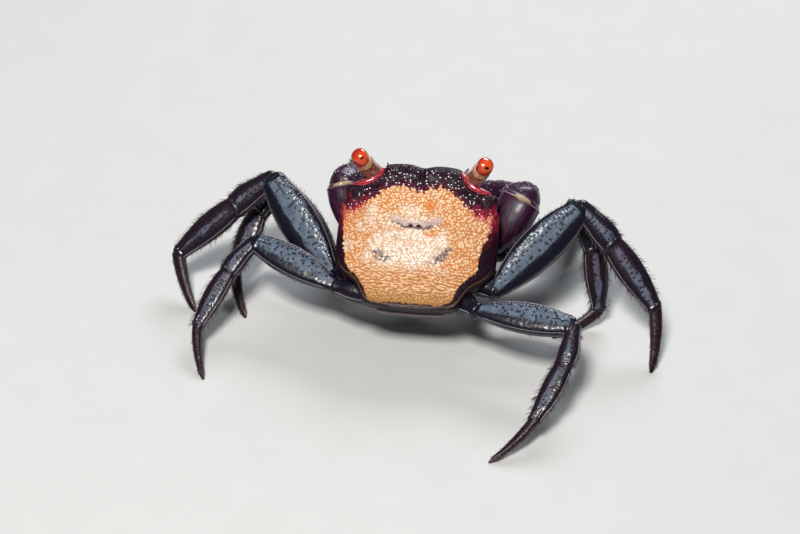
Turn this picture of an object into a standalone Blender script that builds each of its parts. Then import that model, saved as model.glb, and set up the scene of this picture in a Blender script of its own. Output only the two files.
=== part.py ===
"""A life-size vampire crab (genus Geosesarma), standing still on eight feet.

The crab faces +Y, its right side is +X and it stands on the plane z = 0.
Every length below is in millimetres and every angle in degrees; MM turns
them into metres when a mesh is made.
"""
import math

import bmesh
import bpy
import numpy as np
from mathutils import Matrix, Vector

MM = 0.001

# Driving dimensions

CARAPACE_WIDTH = 20.0
BODY_HEIGHT = 13.5
BODY_PITCH = 29.0
BODY_YAW = -7.0
JOINT_GAP = 0.24
SOCKET_GAP = 0.34
FOOT_SINK = 0.35

# Rings: points round each kind of piece, and the roundness of a limb's section
RING_SIDES = {"leg": 12, "foot": 10, "claw": 14, "claw_base": 10, "eye": 14, "feeler": 8}
LIMB_POWER = 2.3
ROUND_POWER = 2.0
DOME_LEANS = (70.0, 42.0)
DOME_BLUNTNESS = (0.8, 0.8)
SHARP_EDGE_ANGLE = 40.0

# Lengths of a leg's pieces: base, merus, carpus, propodus, dactylus
LEG_LENGTHS = {
    "first": (2.9, 10.1, 4.1, 6.3, 5.4),
    "second": (3.8, 14.2, 5.2, 8.0, 6.4),
    "third": (3.8, 15.6, 6.4, 9.6, 7.6),
    "fourth": (3.5, 12.4, 5.4, 8.0, 6.8),
}

# How stout each pair of legs is beside the third pair, and its ball-like base
LEG_STOUTNESS = {"first": 0.82, "second": 0.88, "third": 1.0, "fourth": 0.76}
BASE_STOUTNESS = {"first": 0.82, "second": 0.88, "third": 1.0, "fourth": 1.0}

# Sections of a leg's pieces: share of the length, half width, half thickness
LEG_SECTIONS = {
    "base": (
        (0.0, 1.35, 1.3), (0.3, 1.5, 1.4), (0.6, 1.4, 1.3), (0.85, 1.1, 1.05), (1.0, 1.1, 1.0),
    ),
    "merus": (
        (0.0, 0.95, 0.85), (0.12, 1.55, 1.05), (0.32, 2.3, 1.25), (0.58, 2.6, 1.3),
        (0.8, 2.25, 1.2), (0.94, 1.75, 1.1), (1.0, 1.6, 1.05),
    ),
    "carpus": ((0.0, 1.35, 1.0), (0.3, 1.4, 1.05), (0.7, 1.7, 1.1), (1.0, 1.55, 1.0)),
    "propodus": (
        (0.0, 1.45, 0.95), (0.3, 1.75, 0.95), (0.6, 1.6, 0.85), (0.9, 1.1, 0.75), (1.0, 0.95, 0.7),
    ),
    "dactylus": (
        (0.0, 0.85, 0.68), (0.3, 0.78, 0.58), (0.65, 0.58, 0.45), (0.9, 0.4, 0.34), (1.0, 0.3, 0.28),
    ),
}

# How far the middle of each piece bows towards the leg's upper edge
LEG_BOWS = {"base": 0.0, "merus": 0.12, "carpus": 0.2, "propodus": 0.1, "dactylus": 0.3}

# Where each right leg leaves the body, in the body's own axes
HIP_PLACES = {
    "first": (7.5, 1.5, -8.0),
    "second": (7.8, -0.9, -6.9),
    "third": (7.4, -3.4, -4.6),
    "fourth": (6.2, -6.4, -4.0),
}

# Pose of each leg: compass and climb of its base, compass and climb of its
# merus (0 is straight ahead, 90 is to the right), its foot's place, and the
# bend between carpus and propodus. The last bend follows from the foot.
LEG_POSES = {
    ("first", "right"): (57.8, -40.0, 64.7, 2.6, 21.0, 23.6, 11.6),
    ("first", "left"): (-33.5, -47.5, -1.0, -8.5, -8.7, 31.9, 48.2),
    ("second", "right"): (140.0, -18.0, 55.5, 30.0, 17.6, -3.6, 14.0),
    ("second", "left"): (-79.9, -34.6, -30.7, 20.5, -21.7, 0.4, 14.7),
    ("third", "right"): (138.0, -6.7, 50.8, 29.3, 28.9, -9.9, 4.4),
    ("third", "left"): (-81.0, -33.0, -33.2, 29.2, -28.2, 1.6, 0.0),
    ("fourth", "right"): (150.8, 8.6, 107.7, 5.3, 8.8, -25.6, 12.0),
    ("fourth", "left"): (-78.5, 1.0, -56.0, 8.6, -26.1, -11.1, 11.0),
}

# Claw joints in the body's own axes, right side positive
CLAW_JOINTS = {
    "right": {
        "hip": (7.0, 4.7, -7.7),
        "elbow": (10.5, 1.0, -6.2),
        "wrist": (12.5, 8.0, -4.8),
        "hand": (11.9, 9.5, -8.0),
        "tip": (4.7, 11.6, -14.6),
    },
    "left": {
        "hip": (-7.0, 4.7, -7.7),
        "elbow": (-9.9, 1.9, -6.6),
        "wrist": (-10.6, 8.1, -4.7),
        "hand": (-9.6, 10.4, -7.4),
        "tip": (-3.6, 11.6, -14.8),
    },
}

SIDES = {"right": 1.0, "left": -1.0}

# Sections of a claw's pieces, and how wide each claw is beside the sections
CLAW_SECTIONS = {
    "base": ((0.0, 1.35, 1.3), (0.4, 1.05, 1.05), (1.0, 1.1, 1.05)),
    "arm": ((0.0, 1.15, 1.1), (0.25, 1.9, 1.7), (0.6, 2.55, 2.1), (0.9, 2.6, 2.2), (1.0, 2.35, 2.1)),
    "wrist": ((0.0, 2.3, 2.0), (0.45, 2.45, 2.15), (1.0, 1.9, 1.75)),
}
CLAW_WIDTHS = {"right": 1.04, "left": 0.8}
CLAW_FACE_LEAN = 0.3

# Joints of an eyestalk and its eye in the body's axes, right side positive
EYE_JOINTS = ((5.6, 8.0, -3.0), (7.4, 8.6, 1.75), (8.1, 8.5, 3.5))
STALK_SECTIONS = ((0.0, 1.15, 1.15), (0.35, 1.3, 1.3), (0.8, 1.25, 1.25), (1.0, 1.1, 1.1))
EYE_SECTIONS = ((0.0, 1.0, 1.0), (0.2, 1.08, 1.08), (0.5, 1.1, 1.1), (0.68, 1.0, 1.0))
EYE_BLUNTNESS = (0.8, 0.62)

# A feeler's root and tip in the body's axes, and its sections
FEELER_ENDS = ((4.0, 8.8, -3.6), (5.2, 11.7, -5.6))
FEELER_SECTIONS = ((0.0, 0.5, 0.5), (0.18, 0.45, 0.45), (0.3, 0.28, 0.28), (1.0, 0.16, 0.16))

# Teeth along the two fingers of a hand
TOOTH_HEIGHT = 0.22
FINGER_RINGS = 9

# Stations of the palm, the fixed and the moving finger: share of the hand's
# length, aside towards the outer edge, half height, half depth
PALM_STATIONS = (
    (-0.10, 0.0, 0.9, 0.8), (0.0, 0.0, 1.7, 1.4), (0.18, 0.0, 2.45, 1.9), (0.38, 0.0, 2.75, 2.0),
    (0.535, 0.05, 2.6, 1.75),
)
FIXED_STATIONS = (
    (0.57, 1.3, 1.25, 1.2), (0.72, 1.3, 1.05, 0.9), (0.88, 0.95, 0.75, 0.6), (0.99, 0.45, 0.34, 0.3),
)
MOVING_STATIONS = (
    (0.575, -1.35, 0.8, 0.8), (0.608, -1.5, 1.1, 1.0), (0.74, -1.75, 1.0, 0.85), (0.88, -1.35, 0.7, 0.6),
    (1.0, -0.55, 0.32, 0.3),
)

# Lobes behind the front edge: across, forward, half width, half length, height
FRONT_LOBES = ((1.25, 8.45, 1.15, 0.8, 0.30), (3.85, 8.2, 1.2, 0.9, 0.32))

# Raised regions of the back: across, forward, half width, half length, height
BACK_REGIONS = (
    (0.0, 2.6, 2.6, 3.2, 0.22),
    (0.0, -3.6, 2.8, 2.4, 0.20),
    (6.2, 2.4, 2.6, 3.4, 0.16),
    (6.0, -3.0, 2.4, 2.8, 0.18),
)

# Grooves that part the breast plates, and how deep they are
BREAST_GROOVES = (4.6, 2.3, -0.2, -2.8, -5.0)
BREAST_GROOVE_DEPTH = 0.16
BREAST_GROOVE_REACH = 0.3

# Breast from front to back: forward, half width, half depth, height
BREAST_STATIONS = (
    (8.5, 2.4, 1.4, -6.4), (7.9, 4.6, 2.4, -6.5), (5.8, 6.4, 3.1, -6.8), (3.0, 7.3, 3.6, -7.0),
    (0.0, 7.6, 3.7, -7.0), (-3.0, 7.2, 3.3, -6.6), (-5.6, 6.1, 2.7, -5.9), (-7.6, 4.9, 1.9, -5.2),
    (-8.4, 3.6, 1.2, -4.9),
)
BREAST_SIDES = 22
BREAST_POWER = 2.6
BREAST_DROP = 0.3

# Mouth plates from the top: height, forward, half width, half depth
MOUTH_STATIONS = (
    (-5.1, 8.35, 2.9, 0.5), (-5.8, 8.7, 3.2, 0.65), (-7.2, 8.75, 3.1, 0.7), (-8.4, 8.35, 2.5, 0.6),
    (-9.0, 7.95, 1.6, 0.45),
)
MOUTH_SIDES = 16
MOUTH_GROOVE_DEPTH = 0.35
MOUTH_GROOVE_REACH = 0.9

# Colours: name, base colour, roughness
COLOURS = {
    "shell_orange": ((0.80, 0.46, 0.22), 0.45),
    "shell_dark": ((0.05, 0.02, 0.05), 0.35),
    "leg_blue": ((0.06, 0.07, 0.13), 0.30),
    "foot_brown": ((0.10, 0.05, 0.08), 0.45),
    "claw_purple": ((0.12, 0.02, 0.12), 0.35),
    "stalk_amber": ((0.45, 0.16, 0.06), 0.35),
    "eye_red": ((0.75, 0.10, 0.02), 0.12),
    "feeler_brown": ((0.22, 0.10, 0.08), 0.50),
}


# Small helpers for directions and frames


def clear_scene():
    for old in list(bpy.data.objects):
        bpy.data.objects.remove(old, do_unlink=True)


def heading(compass, climb):
    """Unit vector with the given compass angle and climb above the floor."""
    across = math.cos(math.radians(climb))
    return Vector((
        across * math.sin(math.radians(compass)),
        across * math.cos(math.radians(compass)),
        math.sin(math.radians(climb)),
    ))


def body_axes():
    """Right, forward and up axes of the pitched and turned body."""
    pitch = math.radians(BODY_PITCH)
    yaw = math.radians(BODY_YAW)
    right = Vector((math.cos(yaw), math.sin(yaw), 0.0))
    level = Vector((-math.sin(yaw), math.cos(yaw), 0.0))
    forward = level * math.cos(pitch) + Vector((0, 0, math.sin(pitch)))
    return right, forward, right.cross(forward)


BODY_RIGHT, BODY_FORWARD, BODY_UP = body_axes()


def from_body(place):
    """World place, in millimetres, of a place in the body's axes."""
    x, y, z = place
    lift = Vector((0.0, 0.0, BODY_HEIGHT))
    return lift + BODY_RIGHT * x + BODY_FORWARD * y + BODY_UP * z


def body_matrix():
    axes = Matrix((BODY_RIGHT, BODY_FORWARD, BODY_UP)).transposed()
    return Matrix.Translation(Vector((0, 0, BODY_HEIGHT)) * MM) @ axes.to_4x4()


def frame_along(start, end, face):
    """Matrix with +Y from start to end and +Z as near to face as it can be."""
    along = (end - start).normalized()
    across = along.cross(face).normalized()
    outward = across.cross(along)
    axes = Matrix((across, along, outward)).transposed()
    return Matrix.Translation(start * MM) @ axes.to_4x4()


# Mesh builders

# In metres: how near a cut a point counts as on it, and how near two are one
CUT_TOLERANCE = 1e-8
MERGE_DISTANCE = 2e-6


def section_ring(middle, half_x, half_z, sides, power=LIMB_POWER):
    """Closed superellipse ring in the X-Z plane about middle."""
    points = []
    for step in range(sides):
        angle = 2 * math.pi * (step + 0.5) / sides
        c, s = math.cos(angle), math.sin(angle)
        x = math.copysign(abs(c) ** (2 / power), c) * half_x
        z = math.copysign(abs(s) ** (2 / power), s) * half_z
        points.append(Vector((middle[0] + x, middle[1], middle[2] + z)))
    return points


def skin_rings(rings):
    """Closed bmesh through equal rings, with flat caps at both ends."""
    bm = bmesh.new()
    loops = [[bm.verts.new(point * MM) for point in ring] for ring in rings]
    for first, second in zip(loops, loops[1:]):
        bmesh.ops.bridge_loops(
            bm, edges=ring_edges(bm, first) + ring_edges(bm, second)
        )
    bm.faces.new(loops[0])
    bm.faces.new(loops[-1])
    bmesh.ops.recalc_face_normals(bm, faces=bm.faces)
    return bm


def ring_edges(bm, loop):
    edges = []
    for a, b in zip(loop, loop[1:] + loop[:1]):
        edge = bm.edges.get((a, b))
        if edge is None:
            edge = bm.edges.new((a, b))
        edges.append(edge)
    return edges


def material(name):
    found = bpy.data.materials.get(name)
    if found:
        return found
    colour, roughness = COLOURS[name]
    made = bpy.data.materials.new(name)
    made.use_nodes = True
    shader = made.node_tree.nodes["Principled BSDF"]
    shader.inputs["Base Color"].default_value = (*colour, 1.0)
    shader.inputs["Roughness"].default_value = roughness
    shader.inputs["Metallic"].default_value = 0.0
    return made


def add_object(name, bm, matrix, colour):
    mesh = bpy.data.meshes.new(name)
    bm.to_mesh(mesh)
    bm.free()
    mesh.shade_smooth()
    mesh.set_sharp_from_angle(angle=math.radians(SHARP_EDGE_ANGLE))
    mesh.materials.append(material(colour))
    made = bpy.data.objects.new(name, mesh)
    made.matrix_world = matrix
    bpy.context.scene.collection.objects.link(made)
    return made


def slice_off(bm, matrix, place, normal):
    """Cut away what lies past a world plane and close the cut."""
    inverse = matrix.inverted()
    local_place = inverse @ (place * MM)
    local_normal = (inverse.to_3x3() @ normal).normalized()
    cut = bmesh.ops.bisect_plane(
        bm,
        geom=bm.verts[:] + bm.edges[:] + bm.faces[:],
        dist=CUT_TOLERANCE,
        plane_co=local_place,
        plane_no=local_normal,
        clear_outer=True,
    )
    edges = [item for item in cut["geom_cut"] if isinstance(item, bmesh.types.BMEdge)]
    open_edges = [edge for edge in edges if edge.is_boundary]
    if open_edges:
        bmesh.ops.contextual_create(bm, geom=open_edges)
    bmesh.ops.recalc_face_normals(bm, faces=bm.faces)


def profile_rings(profile, length, sides, bow=0.0, blunt=DOME_BLUNTNESS, power=LIMB_POWER):
    """Rings of a limb piece from (t, half width, half thickness) stations.

    Both ends are closed by a dome as deep as blunt times the end's half
    width, and the middle is pushed towards +X by bow.
    """
    rings = []
    first = profile[0]
    last = profile[-1]
    for angle in DOME_LEANS:
        lean = math.radians(angle)
        depth = first[1] * blunt[0] * math.sin(lean)
        rings.append(section_ring(
            (0, first[0] * length - depth, 0),
            first[1] * math.cos(lean), first[2] * math.cos(lean), sides, power,
        ))
    for t, half_x, half_z in profile:
        push = bow * 4 * t * (1 - t)
        rings.append(section_ring((push, t * length, 0), half_x, half_z, sides, power))
    for angle in reversed(DOME_LEANS):
        lean = math.radians(angle)
        depth = last[1] * blunt[1] * math.sin(lean)
        rings.append(section_ring(
            (0, last[0] * length + depth, 0),
            last[1] * math.cos(lean), last[2] * math.cos(lean), sides, power,
        ))
    return rings


def limb_piece(name, start, end, face, profile, colour, cuts, sides, **shape):
    """One rigid piece of a limb, domed at both ends and cut at its joints."""
    matrix = frame_along(start, end, face)
    length = (end - start).length
    bm = skin_rings(profile_rings(profile, length, sides, **shape))
    for place, normal in cuts:
        slice_off(bm, matrix, place, normal)
    return add_object(name, bm, matrix, colour)


# Legs


MOST_BEND = 150.0
HALVINGS = 50


def lower_joints(knee, merus_heading, foot, lengths, first_bend):
    """Joints below the knee, in the plane of the merus and the foot.

    The carpus and propodus differ by first_bend. The bend at the dactylus
    is found by halving until the last piece ends on the foot.
    """
    chord = (foot - knee).normalized()
    normal = merus_heading.cross(chord).normalized()
    outward = chord.cross(normal)
    if outward.dot(merus_heading) < 0:
        outward = -outward
    reach = (foot - knee).length

    def folded(last_bend):
        headings = (0.0, first_bend, first_bend + last_bend)
        places = [Vector((0.0, 0.0))]
        for piece, bend in zip(lengths, headings):
            turn = math.radians(bend)
            step = Vector((math.cos(turn), -math.sin(turn))) * piece
            places.append(places[-1] + step)
        return places

    low, high = 0.0, MOST_BEND
    for _ in range(HALVINGS):
        middle = (low + high) / 2
        if folded(middle)[-1].length > reach:
            low = middle
        else:
            high = middle
    places = folded(low)
    tip = places[-1]
    lean = -math.atan2(tip.y, tip.x)
    joints = []
    for place in places:
        along = place.x * math.cos(lean) - place.y * math.sin(lean)
        aside = place.x * math.sin(lean) + place.y * math.cos(lean)
        joints.append(knee + chord * along + outward * aside)
    return joints, normal


def leg_joints(pair, side):
    """Hip, base end, knee, the two lower joints and foot of one leg."""
    lengths = LEG_LENGTHS[pair]
    pose = LEG_POSES[(pair, side)]
    hip_x, hip_y, hip_z = HIP_PLACES[pair]
    hip = from_body((hip_x * SIDES[side], hip_y, hip_z))
    base_end = hip + heading(pose[0], pose[1]) * lengths[0]
    merus_heading = heading(pose[2], pose[3])
    knee = base_end + merus_heading * lengths[1]
    foot = Vector((pose[4], pose[5], 0.0))
    lower, normal = lower_joints(knee, merus_heading, foot, lengths[2:], pose[6])
    if normal.z < 0:
        normal = -normal
    return [hip, base_end] + lower, normal


def joint_cuts(joints):
    """Mitre plane at each inner joint, as a place and a unit normal."""
    cuts = []
    for before, here, after in zip(joints, joints[1:], joints[2:]):
        incoming = (here - before).normalized()
        outgoing = (after - here).normalized()
        cuts.append((here, (incoming + outgoing).normalized()))
    return cuts


def ends_for(cuts, before, after):
    """Slices that leave half of the joint gap on each side of a piece."""
    slices = []
    if before is not None:
        place, normal = cuts[before]
        slices.append((place + normal * JOINT_GAP / 2, -normal))
    if after is not None:
        place, normal = cuts[after]
        slices.append((place - normal * JOINT_GAP / 2, normal))
    return slices


def make_leg(pair, side):
    """Five pieces of one leg; returns its base and its merus."""
    joints, normal = leg_joints(pair, side)
    cuts = joint_cuts(joints)
    floor = (Vector((0, 0, 0)), Vector((0, 0, -1)))
    joints[-1] += (joints[-1] - joints[-2]).normalized() * FOOT_SINK
    dorsal = -SIDES[side]
    last = len(LEG_SECTIONS) - 1
    pieces = []
    for index, (piece, sections) in enumerate(LEG_SECTIONS.items()):
        stout = BASE_STOUTNESS[pair] if piece == "base" else LEG_STOUTNESS[pair]
        before = index - 1 if index else None
        after = index if index < last else None
        is_foot = index == last
        pieces.append(limb_piece(
            f"leg_{pair}_{side}_{piece}", joints[index], joints[index + 1], normal,
            [(t, half_x * stout, half_z * stout) for t, half_x, half_z in sections],
            "foot_brown" if is_foot else "leg_blue",
            ends_for(cuts, before, after) + ([floor] if is_foot else []),
            RING_SIDES["foot" if is_foot else "leg"], bow=LEG_BOWS[piece] * dorsal,
        ))
    return pieces[0], pieces[1]


# Claws


def make_claw(side):
    """Base, arm, wrist, hand and finger of one claw."""
    joints = [from_body(place) for place in CLAW_JOINTS[side].values()]
    cuts = joint_cuts(joints)
    face = BODY_UP + BODY_FORWARD * CLAW_FACE_LEAN
    pieces = []
    for index, (piece, sections) in enumerate(CLAW_SECTIONS.items()):
        width = 1.0 if piece == "base" else CLAW_WIDTHS[side]
        pieces.append(limb_piece(
            f"claw_{side}_{piece}", joints[index], joints[index + 1], face,
            [(t, half_x * width, half_z) for t, half_x, half_z in sections],
            "claw_purple", ends_for(cuts, index - 1 if index else None, index),
            RING_SIDES["claw_base" if piece == "base" else "claw"],
        ))
    pieces.extend(make_chela(side, joints[-2], joints[-1], cuts[-1]))
    return pieces


def finger_rings(stations, inner_sign, sides, tooth):
    """Rings of a finger whose edge towards the other finger is toothed."""
    stations = np.array(stations)
    spread = np.linspace(stations[0, 0], stations[-1, 0], FINGER_RINGS)
    rings = []
    for index, along in enumerate(spread):
        aside, half_x, half_z = (
            np.interp(along, stations[:, 0], stations[:, column]) for column in (1, 2, 3)
        )
        bite = tooth / 2 if index % 2 and index < FINGER_RINGS - 2 else 0.0
        middle = (aside + bite * inner_sign, along, 0.0)
        rings.append(section_ring(middle, half_x + bite, half_z, sides))
    return rings


def make_chela(side, start, tip, wrist_cut):
    """Palm with its fixed finger, and the movable finger beside it."""
    hand_sign = SIDES[side]
    prefix = f"claw_{side}"
    length = (tip - start).length
    matrix = frame_along(start, tip, BODY_FORWARD)
    sides = RING_SIDES["claw"]

    def placed(stations):
        return [
            (share * length, aside * hand_sign, half_x, half_z)
            for share, aside, half_x, half_z in stations
        ]

    rings = [
        section_ring((aside, along, 0), half_x, half_z, sides)
        for along, aside, half_x, half_z in placed(PALM_STATIONS)
    ]
    rings += finger_rings(placed(FIXED_STATIONS), -hand_sign, sides, TOOTH_HEIGHT)
    bm = skin_rings(rings)
    place, normal = wrist_cut
    slice_off(bm, matrix, place + normal * JOINT_GAP / 2, -normal)
    hand = add_object(f"{prefix}_hand", bm, matrix, "claw_purple")
    rings = finger_rings(placed(MOVING_STATIONS), hand_sign, RING_SIDES["leg"], TOOTH_HEIGHT)
    finger = add_object(f"{prefix}_finger", skin_rings(rings), matrix, "claw_purple")
    return hand, finger


# Body


# Right half of the shell's edge, front to back: across, forward, edge height
SHELL_EDGE = [
    (0.0, 9.4, -1.0),
    (1.5, 9.75, -1.0),
    (3.3, 9.75, -1.0),
    (4.7, 9.4, -0.95),
    (5.25, 8.4, -0.9),
    (6.0, 7.45, -0.95),
    (7.2, 6.8, -1.0),
    (8.6, 6.55, -1.1),
    (9.5, 6.15, -1.25),
    (9.45, 4.9, -1.6),
    (9.8, 4.1, -1.75),
    (9.95, 3.0, -1.95),
    (10.0, 0.8, -2.2),
    (10.0, -2.0, -2.35),
    (9.6, -3.9, -2.35),
    (8.5, -5.1, -2.25),
    (7.1, -6.2, -2.05),
    (6.3, -7.6, -1.75),
    (5.3, -8.75, -1.5),
    (2.6, -9.1, -1.3),
    (0.0, -9.15, -1.25),
]

# Rings of the wall below that edge, from the bottom up: share of the wall's
# depth, scale across, scale along, and how far the brow stands forward
SHELL_WALL = (
    (1.0, 0.87, 0.90, -0.5),
    (0.74, 0.95, 0.965, -0.8),
    (0.54, 0.98, 0.985, -0.6),
    (0.42, 0.995, 1.0, 0.25),
    (0.2, 1.0, 1.0, 0.3),
    (0.0, 0.995, 1.0, 0.0),
)
SHELL_FLOOR = -4.7
SHELL_RINGS = (0.965, 0.925, 0.88, 0.82, 0.74, 0.64, 0.53, 0.41, 0.28, 0.14)

# Shares of the two nearest and the two next points in a point between them
NEAR_SHARE = 9 / 16
FAR_SHARE = 1 / 16

# Fall of the back in front and behind: towards the end, towards the side,
# how much less the side falls at the end, and where that is reached
FRONT_FALL = {"along": 0.55, "reach": 9.3, "across": 2.0, "ease": 1.2, "eased_at": 6.0}
REAR_FALL = {"along": 1.25, "reach": 9.0, "across": 2.0, "ease": 0.6, "eased_at": 8.0}
SIDE_REACH = 10.0
SIDE_POWER = 2.4

# The brow stands out over this stretch, from here forward
BROW_START = 8.0
BROW_RISE = 0.9


def shell_loop():
    """Whole edge of the shell as a closed loop, mirrored across the middle."""
    right = [Vector(point) for point in SHELL_EDGE]
    left = [Vector((-point.x, point.y, point.z)) for point in reversed(right[1:-1])]
    loop = right + left
    finer = []
    count = len(loop)
    for index in range(count):
        before, here, after, beyond = (loop[(index + step) % count] for step in (-1, 0, 1, 2))
        finer.append(here)
        middle = (here + after) * NEAR_SHARE - (before + beyond) * FAR_SHARE
        finer.append(middle)
    return finer


def bump(x, y, form):
    """Height of one rounded lobe, alike on both sides of the middle."""
    across, forward, half_x, half_y, height = form
    reach = ((abs(x) - across) / half_x) ** 2 + ((y - forward) / half_y) ** 2
    return height * math.exp(-reach)


def shell_top(x, y):
    """Height of the domed back above a place in the body's plane."""
    fall = FRONT_FALL if y > 0 else REAR_FALL
    lengthwise = fall["along"] * (y / fall["reach"]) ** 2
    crosswise = fall["across"] - fall["ease"] * min(abs(y) / fall["eased_at"], 1.0)
    dome = -lengthwise - crosswise * (abs(x) / SIDE_REACH) ** SIDE_POWER
    return dome + sum(bump(x, y, form) for form in FRONT_LOBES + BACK_REGIONS)


def brow_share(place):
    """1 along the front between the orbits, 0 elsewhere."""
    return min(max((place.y - BROW_START) / BROW_RISE, 0.0), 1.0)


def make_carapace():
    """Domed shell: a wall below its edge, and rings that close over its back."""
    scale = CARAPACE_WIDTH / (2 * SIDE_REACH)
    edge = shell_loop()
    rings = []
    for share, across, along, brow in SHELL_WALL:
        rings.append([
            Vector((
                p.x * across,
                p.y * along + brow * brow_share(p),
                p.z + (SHELL_FLOOR - p.z) * share,
            ))
            for p in edge
        ])
    for inward in SHELL_RINGS:
        rings.append([
            Vector((p.x * inward, p.y * inward, shell_top(p.x * inward, p.y * inward)))
            for p in edge
        ])
    rings = [[point * scale for point in ring] for ring in rings]
    return add_object("carapace", skin_rings(rings), body_matrix(), "shell_orange")


def make_thorax():
    """Underside of the body, grooved between its plates, flat where the shell lies."""
    stations = np.array(BREAST_STATIONS)
    places = {y: 0.0 for y in stations[:, 0]}
    for groove in BREAST_GROOVES:
        places[groove] = BREAST_GROOVE_DEPTH
        places[groove - BREAST_GROOVE_REACH] = 0.0
        places[groove + BREAST_GROOVE_REACH] = 0.0
    rings = []
    for y in sorted(places, reverse=True):
        half_x, half_z, height = (
            np.interp(-y, -stations[:, 0], stations[:, column]) for column in (1, 2, 3)
        )
        inset = places[y]
        rings.append(section_ring(
            (0, y, height), half_x - inset, half_z - inset, BREAST_SIDES, BREAST_POWER,
        ))
    matrix = body_matrix()
    bm = skin_rings(rings)
    top = from_body((0, 0, SHELL_FLOOR - BREAST_DROP))
    slice_off(bm, matrix, top, BODY_UP)
    return add_object("thorax", bm, matrix, "shell_dark")


# Path of the abdomen's joints under the body: forward, height, half width
ABDOMEN_JOINTS = (
    (-8.9, -2.8, 4.2), (-8.85, -3.9, 4.05), (-8.2, -5.9, 3.6), (-6.9, -7.8, 3.45),
    (-4.9, -9.4, 3.2), (-2.3, -10.5, 2.5), (0.9, -10.95, 1.6), (3.4, -10.75, 0.7),
)
ABDOMEN_THICKNESS = 0.42
ABDOMEN_SIDES = 14
ABDOMEN_POWER = 3.0

# Rings of one segment: share of its length, and how far the edge draws in
SEGMENT_RINGS = ((0.0, 0.14), (0.1, 0.0), (0.9, 0.0), (1.0, 0.14))


def abdomen_rings(grow=0.0):
    """Rings of the abdomen's seven segments, or of a smooth sleeve around them."""
    joints = [Vector(joint) for joint in ABDOMEN_JOINTS]
    rings = []
    for number, (start, end) in enumerate(zip(joints, joints[1:])):
        along = Vector((0, end.x - start.x, end.y - start.y)).normalized()
        outward = Vector((1, 0, 0)).cross(along)
        for share, inset in SEGMENT_RINGS[1 if number else 0:]:
            place = start.lerp(end, share)
            drawn_in = -grow if grow else inset
            half_x = place.z - drawn_in
            half_z = ABDOMEN_THICKNESS - drawn_in
            ring = []
            for point in section_ring((0, 0, 0), half_x, half_z, ABDOMEN_SIDES, ABDOMEN_POWER):
                ring.append(Vector((point.x, place.x, place.y)) + outward * point.z)
            rings.append(ring)
    if grow:
        rings = rings[:1] + rings[2::3] + rings[-1:]
    return rings


def make_abdomen():
    """Narrow plate of seven segments, folded from the rear edge under the body."""
    return add_object("abdomen", skin_rings(abdomen_rings()), body_matrix(), "shell_dark")


def abdomen_sleeve():
    """Cutter that leaves the socket gap around the abdomen."""
    rings = abdomen_rings(SOCKET_GAP)
    top, below = rings[0], rings[1]
    lift = (top[0] - below[0]).normalized() * SOCKET_GAP
    rings[0] = [point + lift for point in top]
    return add_object("abdomen_sleeve", skin_rings(rings), body_matrix(), "shell_dark")


def make_mouthparts():
    """Pair of plates closing the mouth, split by a groove down the middle."""
    rings = []
    for height, forward, half_x, half_y in MOUTH_STATIONS:
        ring = []
        for point in section_ring((0, 0, 0), half_x, half_y, MOUTH_SIDES, BREAST_POWER):
            nearness = max(0.0, 1 - abs(point.x) / MOUTH_GROOVE_REACH)
            groove = MOUTH_GROOVE_DEPTH * nearness if point.z > 0 else 0.0
            ring.append(Vector((point.x, forward + point.z - groove, height)))
        rings.append(ring)
    return add_object("mouthparts", skin_rings(rings), body_matrix(), "feeler_brown")


def make_eye(side):
    root, neck, crown = (from_body((x * SIDES[side], y, z)) for x, y, z in EYE_JOINTS)
    cuts = joint_cuts([root, neck, crown])
    stalk = limb_piece(
        f"eyestalk_{side}", root, neck, BODY_UP, STALK_SECTIONS,
        "stalk_amber", ends_for(cuts, None, 0), RING_SIDES["eye"], power=ROUND_POWER,
    )
    eye = limb_piece(
        f"eye_{side}", neck, crown, BODY_UP, EYE_SECTIONS,
        "eye_red", ends_for(cuts, 0, None), RING_SIDES["eye"], power=ROUND_POWER, blunt=EYE_BLUNTNESS,
    )
    return stalk, eye


def make_antenna(side):
    root, tip = (from_body((x * SIDES[side], y, z)) for x, y, z in FEELER_ENDS)
    return limb_piece(
        f"antenna_{side}", root, tip, BODY_UP, FEELER_SECTIONS,
        "feeler_brown", [], RING_SIDES["feeler"], power=ROUND_POWER,
    )


# Clearances between neighbours


def fattened(source, gap):
    """Copy of an object grown by gap along its normals, kept as a cutter."""
    bm = bmesh.new()
    bm.from_mesh(source.data)
    bm.normal_update()
    for vert in bm.verts:
        vert.co += vert.normal * vert.calc_shell_factor() * gap * MM
    mesh = bpy.data.meshes.new(f"{source.name}_cutter")
    bm.to_mesh(mesh)
    bm.free()
    cutter = bpy.data.objects.new(mesh.name, mesh)
    cutter.matrix_world = source.matrix_world
    cutter.hide_render = True
    cutter.display_type = "WIRE"
    bpy.context.scene.collection.objects.link(cutter)
    return cutter


def carve(target, neighbours, sleeves=()):
    """Cut a socket for each neighbour out of target, with a gap around it."""
    cutters = [fattened(neighbour, SOCKET_GAP) for neighbour in neighbours]
    cutters += sleeves
    for cutter in cutters:
        cut = target.modifiers.new(cutter.name, "BOOLEAN")
        cut.operation = "DIFFERENCE"
        cut.solver = "EXACT"
        cut.object = cutter
    graph = bpy.context.evaluated_depsgraph_get()
    result = bpy.data.meshes.new_from_object(target.evaluated_get(graph))
    target.modifiers.clear()
    target.data = result
    for cutter in cutters:
        bpy.data.objects.remove(cutter, do_unlink=True)
    keep_largest(target)


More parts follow.
